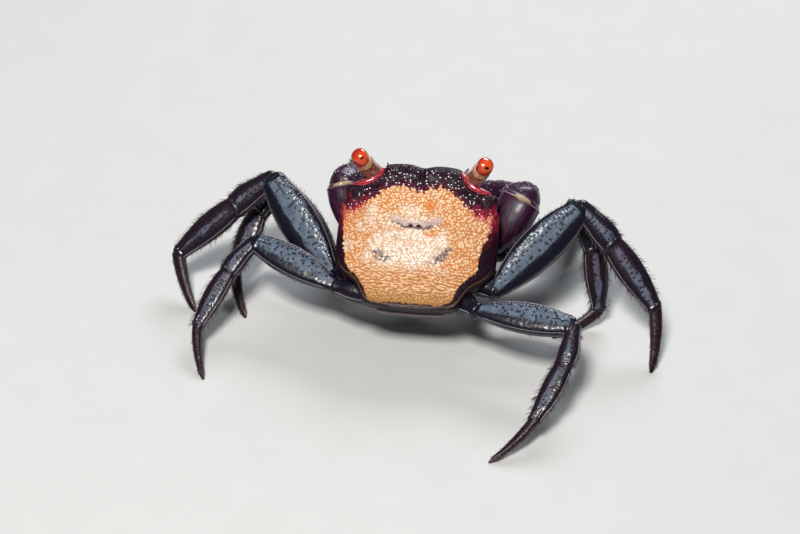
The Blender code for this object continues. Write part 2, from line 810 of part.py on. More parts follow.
def keep_largest(target):
    """Drop every loose piece but the one with the most faces."""
    bm = bmesh.new()
    bm.from_mesh(target.data)
    bmesh.ops.remove_doubles(bm, verts=bm.verts, dist=MERGE_DISTANCE)
    bmesh.ops.dissolve_degenerate(bm, dist=MERGE_DISTANCE, edges=bm.edges)
    seen = set()
    pieces = []
    for seed in bm.faces:
        if seed in seen:
            continue
        piece = [seed]
        seen.add(seed)
        for face in piece:
            for edge in face.edges:
                for other in edge.link_faces:
                    if other not in seen:
                        seen.add(other)
                        piece.append(other)
        pieces.append(piece)
    pieces.sort(key=len)
    for piece in pieces[:-1]:
        bmesh.ops.delete(bm, geom=piece, context="FACES")
    bm.to_mesh(target.data)
    bm.free()


def stand_at_centre():
    """Hang every piece on one empty that puts the box's middle at x = y = 0."""
    pieces = [made for made in bpy.context.scene.objects if made.type == "MESH"]
    corners = [made.matrix_world @ vert.co for made in pieces for vert in made.data.vertices]
    middle_x = (min(c.x for c in corners) + max(c.x for c in corners)) / 2
    middle_y = (min(c.y for c in corners) + max(c.y for c in corners)) / 2
    stand = bpy.data.objects.new("crab_stand", None)
    bpy.context.scene.collection.objects.link(stand)
    for made in pieces:
        made.parent = stand
    stand.location = (-middle_x, -middle_y, 0.0)


def build():
    clear_scene()
    carapace = make_carapace()
    thorax = make_thorax()
    make_abdomen()
    mouthparts = make_mouthparts()
    stalks = []
    feelers = []
    for side in SIDES:
        stalk, _ = make_eye(side)
        stalks.append(stalk)
        feelers.append(make_antenna(side))
    claws = {side: make_claw(side) for side in SIDES}
    legs = {(pair, side): make_leg(pair, side) for pair in LEG_LENGTHS for side in SIDES}
    hips = {key: pieces[0] for key, pieces in legs.items()}
    claw_bases = [claws[side][0] for side in SIDES]
    carve(thorax, [mouthparts] + claw_bases + list(hips.values()), [abdomen_sleeve()])
    back_hips = [hips[(pair, side)] for pair in ("third", "fourth") for side in SIDES]
    carve(carapace, stalks + feelers + back_hips, [abdomen_sleeve()])
    for side in SIDES:
        carve(claws[side][1], [carapace])
        carve(hips[("first", side)], [claws[side][0]])
        carve(hips[("third", side)], list(legs[("fourth", side)]))
    stand_at_centre()


build()
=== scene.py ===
# %% [markdown]
# # A vampire crab
# This lesson dresses the frame of a small land crab. The frame says where
# every piece of the animal is; here each piece gets its fine surface: the
# beaded back, the pitted and keeled legs, the wet eyes and the bristles.
# All sizes are in millimetres until a mesh is made, because a crab with a
# shell 20 mm across is awkward to think of in metres.

# %% Load the frame
import math

import bpy
import numpy as np
from mathutils import Matrix, Vector


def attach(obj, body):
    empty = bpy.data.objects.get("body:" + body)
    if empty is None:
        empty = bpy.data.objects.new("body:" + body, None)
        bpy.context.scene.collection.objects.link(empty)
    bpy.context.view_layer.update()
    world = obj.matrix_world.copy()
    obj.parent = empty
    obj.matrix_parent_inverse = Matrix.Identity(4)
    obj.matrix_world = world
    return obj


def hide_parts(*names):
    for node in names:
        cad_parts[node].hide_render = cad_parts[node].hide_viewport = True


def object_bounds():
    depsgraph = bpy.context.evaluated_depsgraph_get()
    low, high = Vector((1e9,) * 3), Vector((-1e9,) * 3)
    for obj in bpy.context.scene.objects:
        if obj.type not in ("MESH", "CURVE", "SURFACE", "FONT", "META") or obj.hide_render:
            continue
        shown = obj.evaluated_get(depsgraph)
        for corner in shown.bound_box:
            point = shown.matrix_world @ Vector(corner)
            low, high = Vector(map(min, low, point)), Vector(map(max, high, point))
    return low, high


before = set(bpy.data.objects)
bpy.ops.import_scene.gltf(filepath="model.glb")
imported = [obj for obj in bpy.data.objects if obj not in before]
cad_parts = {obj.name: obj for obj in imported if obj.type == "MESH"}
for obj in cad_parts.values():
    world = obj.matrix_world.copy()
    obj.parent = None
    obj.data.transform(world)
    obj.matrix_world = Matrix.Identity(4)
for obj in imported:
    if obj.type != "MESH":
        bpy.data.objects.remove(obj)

MM = 0.001
CAD_BOX = [[value / MM for value in corner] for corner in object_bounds()]
print("frame nodes:", len(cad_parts), "box in mm:", np.round(CAD_BOX, 1).tolist())

# %% [markdown]
# ## Measuring the frame
# A node's mesh can be read as an array of points. The cut faces at a joint
# are among the larger flats of a node, so they can be found by adding up
# the triangles that lie in one plane. Two cuts that look at each other
# across the joint's gap give the joint, and a limb is placed by its joints.

# %% Points and flats of a node
FLAT_LEAN = 0.9995
FLAT_DEPTH = 0.03
FLAT_COUNT = 30
TINY_AREA = 1e-4
FACING_COSINE = -0.99
GAP_LIMITS = (0.05, 0.6)
SLIP_LIMIT = 1.0


def unit(vectors):
    """Vectors divided by their length."""
    return vectors / np.linalg.norm(vectors, axis=-1, keepdims=True)


def node_points(node):
    """All points of a CAD node, in millimetres."""
    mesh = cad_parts[node].data
    points = np.empty(len(mesh.vertices) * 3)
    mesh.vertices.foreach_get("co", points)
    return points.reshape(-1, 3) / MM


def node_flats(node):
    """Normals, areas and middles of the largest flat faces of a node."""
    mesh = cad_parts[node].data
    mesh.calc_loop_triangles()
    corners = np.empty(len(mesh.loop_triangles) * 3, dtype=np.int32)
    mesh.loop_triangles.foreach_get("vertices", corners)
    corners = node_points(node)[corners.reshape(-1, 3)]
    cross = np.cross(corners[:, 1] - corners[:, 0], corners[:, 2] - corners[:, 0])
    area = np.linalg.norm(cross, axis=1) / 2
    normal = cross / np.maximum(2 * area, 1e-12)[:, None]
    depth = np.sum(normal * corners[:, 0], axis=1)
    alike = (normal @ normal.T > FLAT_LEAN) & (abs(depth[:, None] - depth) < FLAT_DEPTH)
    free = area > TINY_AREA
    flats = []
    for _ in range(FLAT_COUNT):
        total = (alike * area * free).sum(axis=1) * free
        group = alike[np.argmax(total)] & free
        weight = area[group][:, None]
        middle = (corners[group].mean(axis=1) * weight).sum(axis=0) / weight.sum()
        flats.append((unit((normal[group] * weight).sum(axis=0)), weight.sum(), middle))
        free = free & ~group
    return [np.array(column) for column in zip(*flats)]


def joint(first, second):
    """Middle between the two facing cuts of neighbouring nodes.

    Facing cuts look opposite ways, lie a small gap apart and hardly slip
    sideways. The pair with the largest areas is the joint.
    """
    normals, areas, middles = node_flats(first)
    other_normals, other_areas, other_middles = node_flats(second)
    step = other_middles[None] - middles[:, None]
    gap = np.sum(step * normals[:, None], axis=-1)
    slip = np.linalg.norm(step - gap[..., None] * normals[:, None], axis=-1)
    facing = (normals @ other_normals.T < FACING_COSINE) & (slip < SLIP_LIMIT)
    facing = facing & (gap > GAP_LIMITS[0]) & (gap < GAP_LIMITS[1])
    score = np.where(facing, np.minimum(areas[:, None], other_areas), -slip)
    row, column = np.unravel_index(score.argmax(), score.shape)
    return (middles[row] + other_middles[column]) / 2


def far_point(node, start):
    """The point of a node that lies farthest from start."""
    points = node_points(node)
    return points[np.argmax(np.linalg.norm(points - start, axis=1))]


knee = joint("leg_third_right_merus", "leg_third_right_carpus")
print("right third knee at", np.round(knee, 2))

# %% [markdown]
# ## The body's own axes
# The crab holds its head up and is turned a little. Its back is easiest to
# describe in axes that lean with it: x across, y forward, z out of the back.
# The shell node's reach along those axes gives their zero, because its sides,
# its brow and its flat underside are at known places.

# %% Body axes
BODY_PITCH = 29.0
BODY_YAW = -7.0
BROW_REACH = 10.094
SHELL_FLOOR = -4.7


def body_axes():
    """Rows: the body's right, forward and outward directions."""
    pitch, yaw = math.radians(BODY_PITCH), math.radians(BODY_YAW)
    right = np.array([math.cos(yaw), math.sin(yaw), 0.0])
    level = np.array([-math.sin(yaw), math.cos(yaw), 0.0])
    forward = level * math.cos(pitch) + np.array([0.0, 0.0, math.sin(pitch)])
    return np.array([right, forward, np.cross(right, forward)])


AXES = body_axes()
_, FORWARD, OUTWARD = AXES
shell_places = node_points("carapace") @ AXES.T
CENTRE = AXES.T @ np.array([
    (shell_places[:, 0].min() + shell_places[:, 0].max()) / 2,
    shell_places[:, 1].max() - BROW_REACH,
    shell_places[:, 2].min() - SHELL_FLOOR,
])


def from_body(places):
    """World places of places given in the body's axes."""
    return CENTRE + np.asarray(places) @ AXES


print("body centre", np.round(CENTRE, 2))

# %% [markdown]
# ## The camera
# The animal is seen from behind and above, from 40 degrees over the horizon,
# through a long lens. The camera's distance follows from the scale of the
# picture, so that the shell fills the same part of the frame.

# %% Camera
LENS = 100.0
SENSOR = 36.0
FRAME_WIDTH_PX = 800.0
FRAME_HEIGHT_PX = 534.0
PX_PER_MM = 8.15
CENTRE_PX = (416.0, 235.0)
VIEW_CLIMB = 40.0


def add_object(name, data):
    """A new object in the scene."""
    made = bpy.data.objects.new(name, data)
    bpy.context.scene.collection.objects.link(made)
    return made


climb = math.radians(VIEW_CLIMB)
to_camera = np.array([0.0, -math.cos(climb), math.sin(climb)])
camera_up = np.array([0.0, math.sin(climb), math.cos(climb)])
camera_right = np.array([1.0, 0.0, 0.0])
distance = LENS / SENSOR * FRAME_WIDTH_PX / PX_PER_MM
aside = -(CENTRE_PX[0] - FRAME_WIDTH_PX / 2) / PX_PER_MM
above = (CENTRE_PX[1] - FRAME_HEIGHT_PX / 2) / PX_PER_MM
camera_place = CENTRE + camera_right * aside + camera_up * above + to_camera * distance

camera_data = bpy.data.cameras.new("camera")
camera_data.lens = LENS
camera_data.sensor_width = SENSOR
camera_data.clip_start = 0.01
camera = add_object("camera", camera_data)
camera_turn = Matrix([camera_right, camera_up, to_camera]).transposed().to_4x4()
camera.matrix_world = Matrix.Translation(Vector(camera_place * MM)) @ camera_turn
bpy.context.scene.camera = camera
print("camera at", np.round(camera_place, 1), "mm")

# %% [markdown]
# ## From numbers to a mesh
# Every piece is worked out as rings of points and then skinned. A shape here
# is a small dictionary: its points, its four-sided and three-sided faces,
# four marks for each point that the finish can read as colours, and a place
# along and around the piece that a pattern can follow.

# %% Shapes and meshes


def face_volume(points, quads, triangles):
    """Signed volume: negative when the faces look inwards."""
    corners = np.concatenate((triangles, quads[:, :3], quads[:, [0, 2, 3]]))
    a, b, c = (points[corners[:, column]] for column in range(3))
    return np.einsum("ij,ij->i", a, np.cross(b, c)).sum() / 6


def outward_shape(points, quads, triangles, marks=None, lie=None):
    """A shape whose faces look outwards."""
    points = np.asarray(points, dtype=float)
    if face_volume(points - points.mean(axis=0), quads, triangles) < 0:
        quads, triangles = quads[:, ::-1], triangles[:, ::-1]
    marks = np.zeros((len(points), 4)) if marks is None else marks
    lie = points.copy() if lie is None else lie
    return {"points": points, "quads": quads, "triangles": triangles, "marks": marks, "lie": lie}


def tube_faces(rows, cols):
    """Quads between closed rings, and a fan to one more point at each end."""
    index = np.arange(rows * cols).reshape(rows, cols)
    turned = np.roll(index, -1, axis=1)
    quads = np.stack((index[:-1], turned[:-1], turned[1:], index[1:]), axis=-1).reshape(-1, 4)
    start_fan = np.column_stack((turned[0], index[0], np.full(cols, rows * cols)))
    end_fan = np.column_stack((index[-1], turned[-1], np.full(cols, rows * cols + 1)))
    return quads, np.concatenate((start_fan, end_fan))


def skin(rings, marks=None, lie=None):
    """Closed shape over rings, each end closed by a fan to its middle."""
    rows, cols, _ = rings.shape

    def with_ends(grid):
        """Grid values as a list, with the mean of the end rings at its end."""
        if grid is None:
            return None
        flat = grid.reshape(rows * cols, -1)
        return np.concatenate((flat, [grid[0].mean(axis=0)], [grid[-1].mean(axis=0)]))

    return outward_shape(with_ends(rings), *tube_faces(rows, cols), with_ends(marks), with_ends(lie))


def copies(points, faces, marks=None):
    """Many small shapes with the same faces; points are copy by copy."""
    steps = (np.arange(len(points)) * points.shape[1])[:, None, None]
    quads, triangles = ((part + steps).reshape(-1, part.shape[1]) for part in faces)
    marks = None if marks is None else marks.reshape(-1, 4)
    return outward_shape(points.reshape(-1, 3), quads, triangles, marks)


def once_round(count, offset=0.0):
    """Evenly spaced turns from 0 to a full turn."""
    return (np.arange(count) + offset) * 2 * math.pi / count


def circle(turn, side, other):
    """Points round a circle in the plane of each pair of directions."""
    return np.cos(turn)[:, None] * side[:, None] + np.sin(turn)[:, None] * other[:, None]


def first_mark(mark):
    """Marks of a piece that needs only one."""
    return np.stack((mark, 0 * mark, 0 * mark, 0 * mark), axis=-1)


def joined(shapes):
    """Several shapes as one, each still closed in itself."""
    offsets = np.cumsum([0] + [len(shape["points"]) for shape in shapes[:-1]])
    whole = {key: np.concatenate([shape[key] for shape in shapes]) for key in ("points", "marks", "lie")}
    for key in ("quads", "triangles"):
        whole[key] = np.concatenate([shape[key] + offset for shape, offset in zip(shapes, offsets)])
    return whole


def add_mesh(name, shape, finish):
    """Puts a shape into a smooth mesh object with its marks and its lie."""
    mesh = bpy.data.meshes.new(name)
    quads, triangles = shape["quads"], shape["triangles"]
    corners = np.concatenate((quads.ravel(), triangles.ravel())).astype(np.int32)
    starts = np.concatenate((
        np.arange(len(quads)) * 4, len(quads) * 4 + np.arange(len(triangles)) * 3,
    )).astype(np.int32)
    mesh.vertices.add(len(shape["points"]))
    mesh.vertices.foreach_set("co", (shape["points"] * MM).astype(np.float32).ravel())
    mesh.loops.add(len(corners))
    mesh.loops.foreach_set("vertex_index", corners)
    mesh.polygons.add(len(starts))
    mesh.polygons.foreach_set("loop_start", starts)
    mesh.update(calc_edges=True)
    mesh.validate()
    mesh.shade_smooth()
    marks = mesh.attributes.new("marks", "FLOAT_COLOR", "POINT")
    marks.data.foreach_set("color", shape["marks"].astype(np.float32).ravel())
    lie = mesh.attributes.new("lie", "FLOAT_VECTOR", "POINT")
    lie.data.foreach_set("vector", shape["lie"].astype(np.float32).ravel())
    mesh.materials.append(finish)
    return add_object(name, mesh)


def add_piece(name, shape, finish, slot, *nodes):
    """A finished piece that rides on the body and may stand for CAD nodes."""
    made = add_mesh(name, shape, finish)
    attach(made, "root")
    if nodes:
        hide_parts(*nodes)
    return made


# %% [markdown]
# ## Chance without surprises
# Natural surfaces need irregularity, and a lesson needs the same result each
# time. The two functions here give both: a soft noise from a lattice of fixed
# random heights, and the distance to the nearest of many scattered dots.

# %% Noise and scattered dots
LATTICE_SIZE = 256
LATTICE = np.random.default_rng(7).random((LATTICE_SIZE, LATTICE_SIZE, 3))
FAR = 99.0


def lattice_values(column, row, values=slice(None)):
    """Values of the lattice, which repeats in both directions."""
    return LATTICE[row % LATTICE_SIZE, column % LATTICE_SIZE, values]


def soft_noise(x, y, size, layer=0):
    """Smooth value from 0 to 1: lattice heights blended by s = t*t*(3 - 2t)."""
    x, y = np.asarray(x) / size + 61.7 * layer, np.asarray(y) / size + 23.3 * layer
    column, row = np.floor(x).astype(int), np.floor(y).astype(int)
    s, t = x - column, y - row
    s, t = s * s * (3 - 2 * s), t * t * (3 - 2 * t)
    low, high = (
        lattice_values(column, level, 0) * (1 - s) + lattice_values(column + 1, level, 0) * s
        for level in (row, row + 1)
    )
    return low * (1 - t) + high * t


def dot_distance(x, y, size, layer=0, spread=0.7):
    """Distance to the nearest dot, with one dot strewn in each square of a grid."""
    x, y = np.asarray(x) / size + 31.0 * layer, np.asarray(y) / size
    column, row = np.floor(x).astype(int), np.floor(y).astype(int)
    nearest = np.full(np.shape(x), FAR)
    for step_x in (-1, 0, 1):
        for step_y in (-1, 0, 1):
            dot = lattice_values(column + step_x, row + step_y)
            dot_x = column + step_x + 0.5 + (dot[..., 1] - 0.5) * spread
            dot_y = row + step_y + 0.5 + (dot[..., 2] - 0.5) * spread
            nearest = np.minimum(nearest, np.hypot(x - dot_x, y - dot_y))
    return nearest * size


def smooth_step(value, low, high):
    """0 below low, 1 above high, and an even S-shaped rise between them."""
    t = np.clip((value - low) / (high - low), 0.0, 1.0)
    return t * t * (3 - 2 * t)


def hill(value, width):
    """Bell curve exp(-(value / width)^2)."""
    return np.exp(-((value / width) ** 2))


def mound(x, y, across, forward, half_x, half_y):
    """Bell curve in two directions: 1 at its middle, over an oval foot."""
    return hill(x - across, half_x) * hill(y - forward, half_y)


print("noise sample", np.round(soft_noise(np.arange(4), 0.0, 2.5), 3))

# %% [markdown]
# ## Mixing a finish
# A finish is a small tree of nodes. Writing each link by hand hides the idea,
# so this class gives short names to the few nodes that all the finishes
# share. Its patterns are measured in millimetres of the object itself.

# %% Finish helper


class Finish:
    """A Principled material with short names for the nodes it is made of."""

    def __init__(self, name, **constants):
        self.material = bpy.data.materials.new(name)
        self.material.use_nodes = True
        self.tree = self.material.node_tree
        self.shader = self.tree.nodes["Principled BSDF"]
        for socket, value in constants.items():
            self.shader.inputs[socket.replace("_", " ")].default_value = value
        place = self.node("ShaderNodeTexCoord").outputs["Object"]
        scaled = self.node("ShaderNodeVectorMath", {0: place}, operation="SCALE")
        scaled.inputs["Scale"].default_value = 1 / MM
        self.place = scaled.outputs["Vector"]

    def node(self, kind, inputs=None, **settings):
        """Adds a node, sets it up, and links or fills its inputs."""
        made = self.tree.nodes.new(kind)
        for key, value in settings.items():
            setattr(made, key, value)
        for key, value in (inputs or {}).items():
            if isinstance(value, bpy.types.NodeSocket):
                self.tree.links.new(value, made.inputs[key])
            else:
                made.inputs[key].default_value = value
        return made

    def marks(self):
        """The four marks of the mesh: red, green, blue and alpha."""
        read = self.node("ShaderNodeAttribute", attribute_name="marks")
        split = self.node("ShaderNodeSeparateColor", {"Color": read.outputs["Color"]})
        return (*[split.outputs[name] for name in ("Red", "Green", "Blue")], read.outputs["Alpha"])

    def paint(self):
        """The marks read as a painted colour and one more value."""
        read = self.node("ShaderNodeAttribute", attribute_name="marks")
        return read.outputs["Color"], read.outputs["Alpha"]

    def lie(self, stretch=(1.0, 1.0, 1.0)):
        """The place along and around a piece, stretched."""
        read = self.node("ShaderNodeAttribute", attribute_name="lie")
        mapping = self.node("ShaderNodeMapping", {"Vector": read.outputs["Vector"], "Scale": stretch})
        return mapping.outputs["Vector"]

    def noise(self, size, detail=3.0, where=None):
        """Cloudy noise whose lumps are about size millimetres across."""
        inputs = {"Vector": where or self.place, "Scale": 1 / size, "Detail": detail}
        return self.node("ShaderNodeTexNoise", inputs).outputs["Fac"]

    def cells(self, size, where=None):
        """Distance to the nearest of many dots about size millimetres apart."""
        inputs = {"Vector": where or self.place, "Scale": 1 / size}
        return self.node("ShaderNodeTexVoronoi", inputs).outputs["Distance"]

    def ramp(self, value, *stops):
        """Maps a value to colours or greys, from (place, colour) stops."""
        made = self.node("ShaderNodeValToRGB", {"Fac": value})
        made.color_ramp.elements.remove(made.color_ramp.elements[1])
        for number, (place, colour) in enumerate(stops):
            colour = (colour,) * 3 if isinstance(colour, (int, float)) else colour
            stop = made.color_ramp.elements[0] if number == 0 else made.color_ramp.elements.new(place)
            stop.position = place
            stop.color = (*colour, 1.0)
        return made.outputs["Color"]

    def blend(self, factor, first, second, mode="MIX"):
        """Colour mixed from first to second by factor."""
        first, second = (
            value if isinstance(value, bpy.types.NodeSocket) else (*value, 1.0) for value in (first, second)
        )
        inputs = {0: factor, 6: first, 7: second}
        return self.node("ShaderNodeMix", inputs, data_type="RGBA", blend_type=mode).outputs[2]

    def over(self, colour, tint, value, *stops, mode="MIX"):
        """Tint laid over a colour, its share read from a ramp over the value."""
        return self.blend(self.ramp(value, *stops), colour, tint, mode)

    def maths(self, operation, first, second=0.0):
        """One sum on two values."""
        return self.node("ShaderNodeMath", {0: first, 1: second}, operation=operation).outputs["Value"]

    def relief(self, height, depth, onto=None):
        """Bump of the given depth in millimetres, laid over an earlier one."""
        inputs = {"Height": height, "Distance": depth * MM, "Strength": 1.0}
        if onto is not None:
            inputs["Normal"] = onto
        return self.node("ShaderNodeBump", inputs).outputs["Normal"]

    def give(self, **sockets):
        """Links node results to the shader and returns the material."""
        for socket, value in sockets.items():
            self.tree.links.new(value, self.shader.inputs[socket.replace("_", " ")])
        return self.material


# %% [markdown]
# ## The shell's plan
# From above the shell is nearly square. Its edge has four lobes in front, a
# bay on each side for the eye, a tooth outside the bay, and straight cuts
# behind where the last legs lie. A few points give that plan, and the
# four-point rule rounds it: each new point is 9/16 of its two neighbours
# less 1/16 of the next two.

# %% Shell edge
SHELL_EDGE = np.array([
    (0.0, 9.4, -1.0), (1.5, 9.75, -1.0), (3.3, 9.75, -1.0), (4.7, 9.4, -0.95),
    (5.25, 8.4, -0.9), (6.0, 7.45, -0.95), (7.2, 6.8, -1.0), (8.6, 6.55, -1.1),
    (9.5, 6.15, -1.25), (9.45, 4.9, -1.6), (9.8, 4.1, -1.75), (9.95, 3.0, -1.95),
    (10.0, 0.8, -2.2), (10.0, -2.0, -2.35), (9.6, -3.9, -2.35), (8.5, -5.1, -2.25),
    (7.1, -6.2, -2.05), (6.3, -7.6, -1.75), (5.3, -8.75, -1.5), (2.6, -9.1, -1.3),
    (0.0, -9.15, -1.25),
])


def rounder(loop):
    """One round of the four-point rule on a closed loop."""
    near = loop + np.roll(loop, -1, axis=0)
    far = np.roll(loop, 1, axis=0) + np.roll(loop, -2, axis=0)
    return np.stack((loop, near * 9 / 16 - far / 16), axis=1).reshape(-1, loop.shape[1])


mirrored = SHELL_EDGE[-2:0:-1] * (-1, 1, 1)
EDGE = np.concatenate((SHELL_EDGE, mirrored))
for _ in range(4):
    EDGE = rounder(EDGE)
edge_turn = np.arctan2(EDGE[:, 0], EDGE[:, 1])
edge_order = np.argsort(edge_turn)
print("shell edge points:", len(EDGE))

# %% [markdown]
# ## The shell's height
# The back is a low dome with four lobes behind its front edge and a few
# swollen regions, parted by a shallow smile-shaped furrow. It is a height
# above the plane of the body, so any bead can be set on it later by its x
# and y alone. Two small pits lie side by side in the furrow.

# %% Shell height
# Lobes and regions: across, forward, half width, half length, height
SHELL_BUMPS = (
    (1.25, 8.45, 1.15, 0.8, 0.30), (3.85, 8.2, 1.2, 0.9, 0.32),
    (0.0, 2.6, 2.6, 3.2, 0.22), (0.0, -3.6, 2.8, 2.4, 0.20),
    (6.2, 2.4, 2.6, 3.4, 0.16), (6.0, -3.0, 2.4, 2.8, 0.18),
)
FURROW_MIDDLE = -0.2
FURROW_DEPTH = 0.2
FURROW_REACH = 3.7
PITS = ((-0.8, 1.2), (0.2, 1.2))
PIT_RADIUS = 0.22
# Fall of the dome and the length over which it falls: to the front, to the rear
FRONT_FALL = (0.55, 9.3)
REAR_FALL = (1.25, 9.0)
SIDE_REACH = 10.0
WING_DEPTH = 0.09
MIDLINE_DEPTH = 0.16
# Shares of the way to the edge
ROLL_START = 0.94
RIM_GROOVE = 0.945
# Heights of the small relief
WRINKLE_HEIGHT = 0.07
RIM_GROOVE_DEPTH = 0.05
PIT_SINK = 0.12


def furrow_line(x):
    """Forward place of the smile-shaped furrow: a parabola across the back."""
    return 1.25 + 0.085 * (x - FURROW_MIDDLE) ** 2


def furrow_share(x):
    """1 along the furrow, falling to 0 at its two ends."""
    return 1 - smooth_step(abs(x - FURROW_MIDDLE), FURROW_REACH - 1.2, FURROW_REACH + 0.2)


def shell_height(x, y):
    """Dome, lobes and furrow: the height of the back above the body's plane."""
    front = y > 0
    lengthwise = np.where(front, *(fall * (y / length) ** 2 for fall, length in (FRONT_FALL, REAR_FALL)))
    crosswise = np.where(front, 2.0 - 1.2 * np.minimum(y / 6.0, 1), 2.0 - 0.6 * np.minimum(-y / 8.0, 1))
    height = -lengthwise - crosswise * (abs(x) / SIDE_REACH) ** 2.4
    height = height + sum(rise * mound(abs(x), y, *place) for *place, rise in SHELL_BUMPS)
    furrow = hill(y - furrow_line(x), 0.36) * furrow_share(x)
    wings = hill(abs(x) - 2.9 + 0.45 * (1.0 + y), 0.3) * smooth_step(y, -2.6, -1.2) * (y < 0.6)
    midline = hill(x, 0.35) * smooth_step(y, 6.6, 8.4)
    return height - FURROW_DEPTH * furrow - WING_DEPTH * wings - MIDLINE_DEPTH * midline


def edge_at(x, y):
    """Share of the way from the middle to the edge, and the edge's drop there."""
    turn = np.arctan2(x, y)
    reach = np.hypot(EDGE[:, 0], EDGE[:, 1])
    drop = shell_height(EDGE[:, 0], EDGE[:, 1]) - EDGE[:, 2]
    reach, drop = (
        np.interp(turn, edge_turn[edge_order], values[edge_order], period=2 * math.pi)
        for values in (reach, drop)
    )
    return np.hypot(x, y) / reach, drop


def pit_share(x, y):
    """1 in the middle of the two pits, 0 away from them."""
    return sum(hill(np.hypot((x - across) / 1.4, y - forward), PIT_RADIUS) for across, forward in PITS)


def back_height(x, y):
    """Height of the back, with its edge rolled over and a groove inside the rim."""
    share, drop = edge_at(x, y)
    roll = np.clip((share - ROLL_START) / (1 - ROLL_START), 0, 1) ** 2
    wrinkles = soft_noise(x, y, 0.9, 1) + 0.5 * soft_noise(x, y, 0.4, 2) - 0.75
    groove = hill(share - RIM_GROOVE, 0.008) * (y < 5.5)
    small = WRINKLE_HEIGHT * wrinkles * (1 - roll) - RIM_GROOVE_DEPTH * groove - PIT_SINK * pit_share(x, y)
    return shell_height(x, y) - drop * roll + small


# The middle of the back, as arrays of one value, to try a function out
MIDDLE = (np.zeros(1), np.zeros(1))
print("height at the middle of the back:", round(float(back_height(*MIDDLE)[0]), 3))

# %% [markdown]
# ## Where the colours meet
# The pale patch has a wavy outline, not quite the same on both sides. The
# distance to that outline, positive inside, is all the paint needs: noise
# frays it, and a fringe of another colour can be laid along it.

# %% Patch outline
# The pale patch's outline, once round from the notch in front: across, forward
PATCH_LOOP = np.array([
    (-0.3, 5.8), (0.5, 5.9), (1.1, 6.4), (2.4, 6.8), (3.2, 6.4), (4.1, 5.8), (5.0, 5.1),
    (5.8, 4.4), (6.5, 3.8), (7.3, 3.3), (8.3, 3.3), (9.4, 4.2), (9.2, 2.3), (8.8, 1.1),
    (8.6, 0.3), (8.2, -0.6), (8.0, -1.7), (7.9, -3.0), (7.9, -3.9), (6.9, -4.9), (5.9, -5.9),
    (5.4, -7.0), (5.0, -8.1), (3.6, -8.6), (0.0, -8.6), (-3.6, -8.6), (-5.3, -8.3),
    (-5.8, -7.2), (-6.3, -6.2), (-7.1, -5.4), (-7.9, -4.7), (-8.7, -3.6), (-8.7, -2.5),
    (-8.9, -1.3), (-9.1, -0.2), (-9.3, 0.8), (-9.5, 2.2), (-9.6, 4.2), (-9.1, 3.0),
    (-8.1, 3.2), (-7.2, 3.8), (-6.3, 4.5), (-5.1, 5.2), (-4.3, 6.0), (-3.4, 6.4),
    (-2.1, 6.6), (-1.3, 6.2),
])


def patch_depth(x, y):
    """Distance to the patch's outline, positive inside: nearest of all its sides."""
    nearest = np.full(np.shape(x), FAR)
    inside = np.zeros(np.shape(x), dtype=bool)
    for (ax, ay), (bx, by) in zip(PATCH_LOOP, np.roll(PATCH_LOOP, -1, axis=0)):
        length = (bx - ax) ** 2 + (by - ay) ** 2
        t = np.clip(((x - ax) * (bx - ax) + (y - ay) * (by - ay)) / length, 0, 1)
        nearest = np.minimum(nearest, np.hypot(x - ax - t * (bx - ax), y - ay - t * (by - ay)))
        if ay != by:
            crossing = (y > min(ay, by)) & (y <= max(ay, by))
            inside ^= crossing & (x < ax + (y - ay) / (by - ay) * (bx - ax))
    return np.where(inside, nearest, -nearest)


def ragged_depth(x, y):
    """Patch distance frayed by noise drawn out along the body, most in front."""
    fray = soft_noise(x, y * 0.45, 0.4, 3) - 0.5 + 0.8 * (soft_noise(x, y * 0.5, 0.2, 4) - 0.5)
    return patch_depth(x, y) + (0.2 + 0.3 * smooth_step(y, 0.0, 3.0)) * fray


print("patch depth at the middle:", round(float(patch_depth(*MIDDLE)[0]), 2), "mm")

# %% [markdown]
# ## Painting by numbers
# The colour of the back changes from place to place in ways that one noise
# can't give, so it is worked out as an array: a first colour, and over it
# layer after layer, each a mask from 0 to 1 with a colour. The result is
# stored on the mesh, and the finish adds what is finer than the mesh.

# %% Colours of the back
BLACK_PURPLE = (0.014, 0.002, 0.010)
BEAD_PURPLE = (0.050, 0.002, 0.024)
MAROON = (0.105, 0.004, 0.022)
CRIMSON = (0.40, 0.010, 0.040)
ORANGE = (0.70, 0.32, 0.115)
DEEP_ORANGE = (0.76, 0.25, 0.040)
OCHRE = (0.46, 0.23, 0.065)
PEACH = (0.84, 0.50, 0.28)
CREAM = (0.84, 0.60, 0.36)
CHALK = (0.80, 0.65, 0.52)
CRACK = (0.74, 0.59, 0.46)
LILAC = (0.76, 0.61, 0.58)
GREY_VIOLET = (0.115, 0.080, 0.100)
RIM_GOLD = (0.36, 0.22, 0.09)
# Painted shade in the two pits of the furrow.
SHELL_PIT_SHADE = (0.035, 0.008, 0.018)
RUST = (0.60, 0.36, 0.13)
BLUSH = (0.66, 0.12, 0.12)
BEAD_RED = (0.55, 0.06, 0.12)
SPECK_WHITE_AND_GLINT = (0.88, 0.80, 0.88)
FINE_SHADE = (0.55, 0.40, 0.32)
BROAD_SHADE = (0.80, 0.66, 0.55)
FOOT_SHADE = (0.80, 0.58, 0.42)
GLOSS_GREY = (0.3, 0.3, 0.3)

# Chalky places: share, across, forward, half width, half length
CHALK_PLACES = ((1.15, -1.1, -1.6, 5.6, 2.7), (0.85, -0.5, 3.3, 1.5, 0.9), (0.5, -5.6, 2.6, 2.4, 1.8))
# Grey smudges: slant, then across, forward, half width, half length
SMUDGES = ((0.75, 3.3, -2.6, 1.5, 0.75), (-0.4, -4.2, -2.9, 1.3, 0.7))
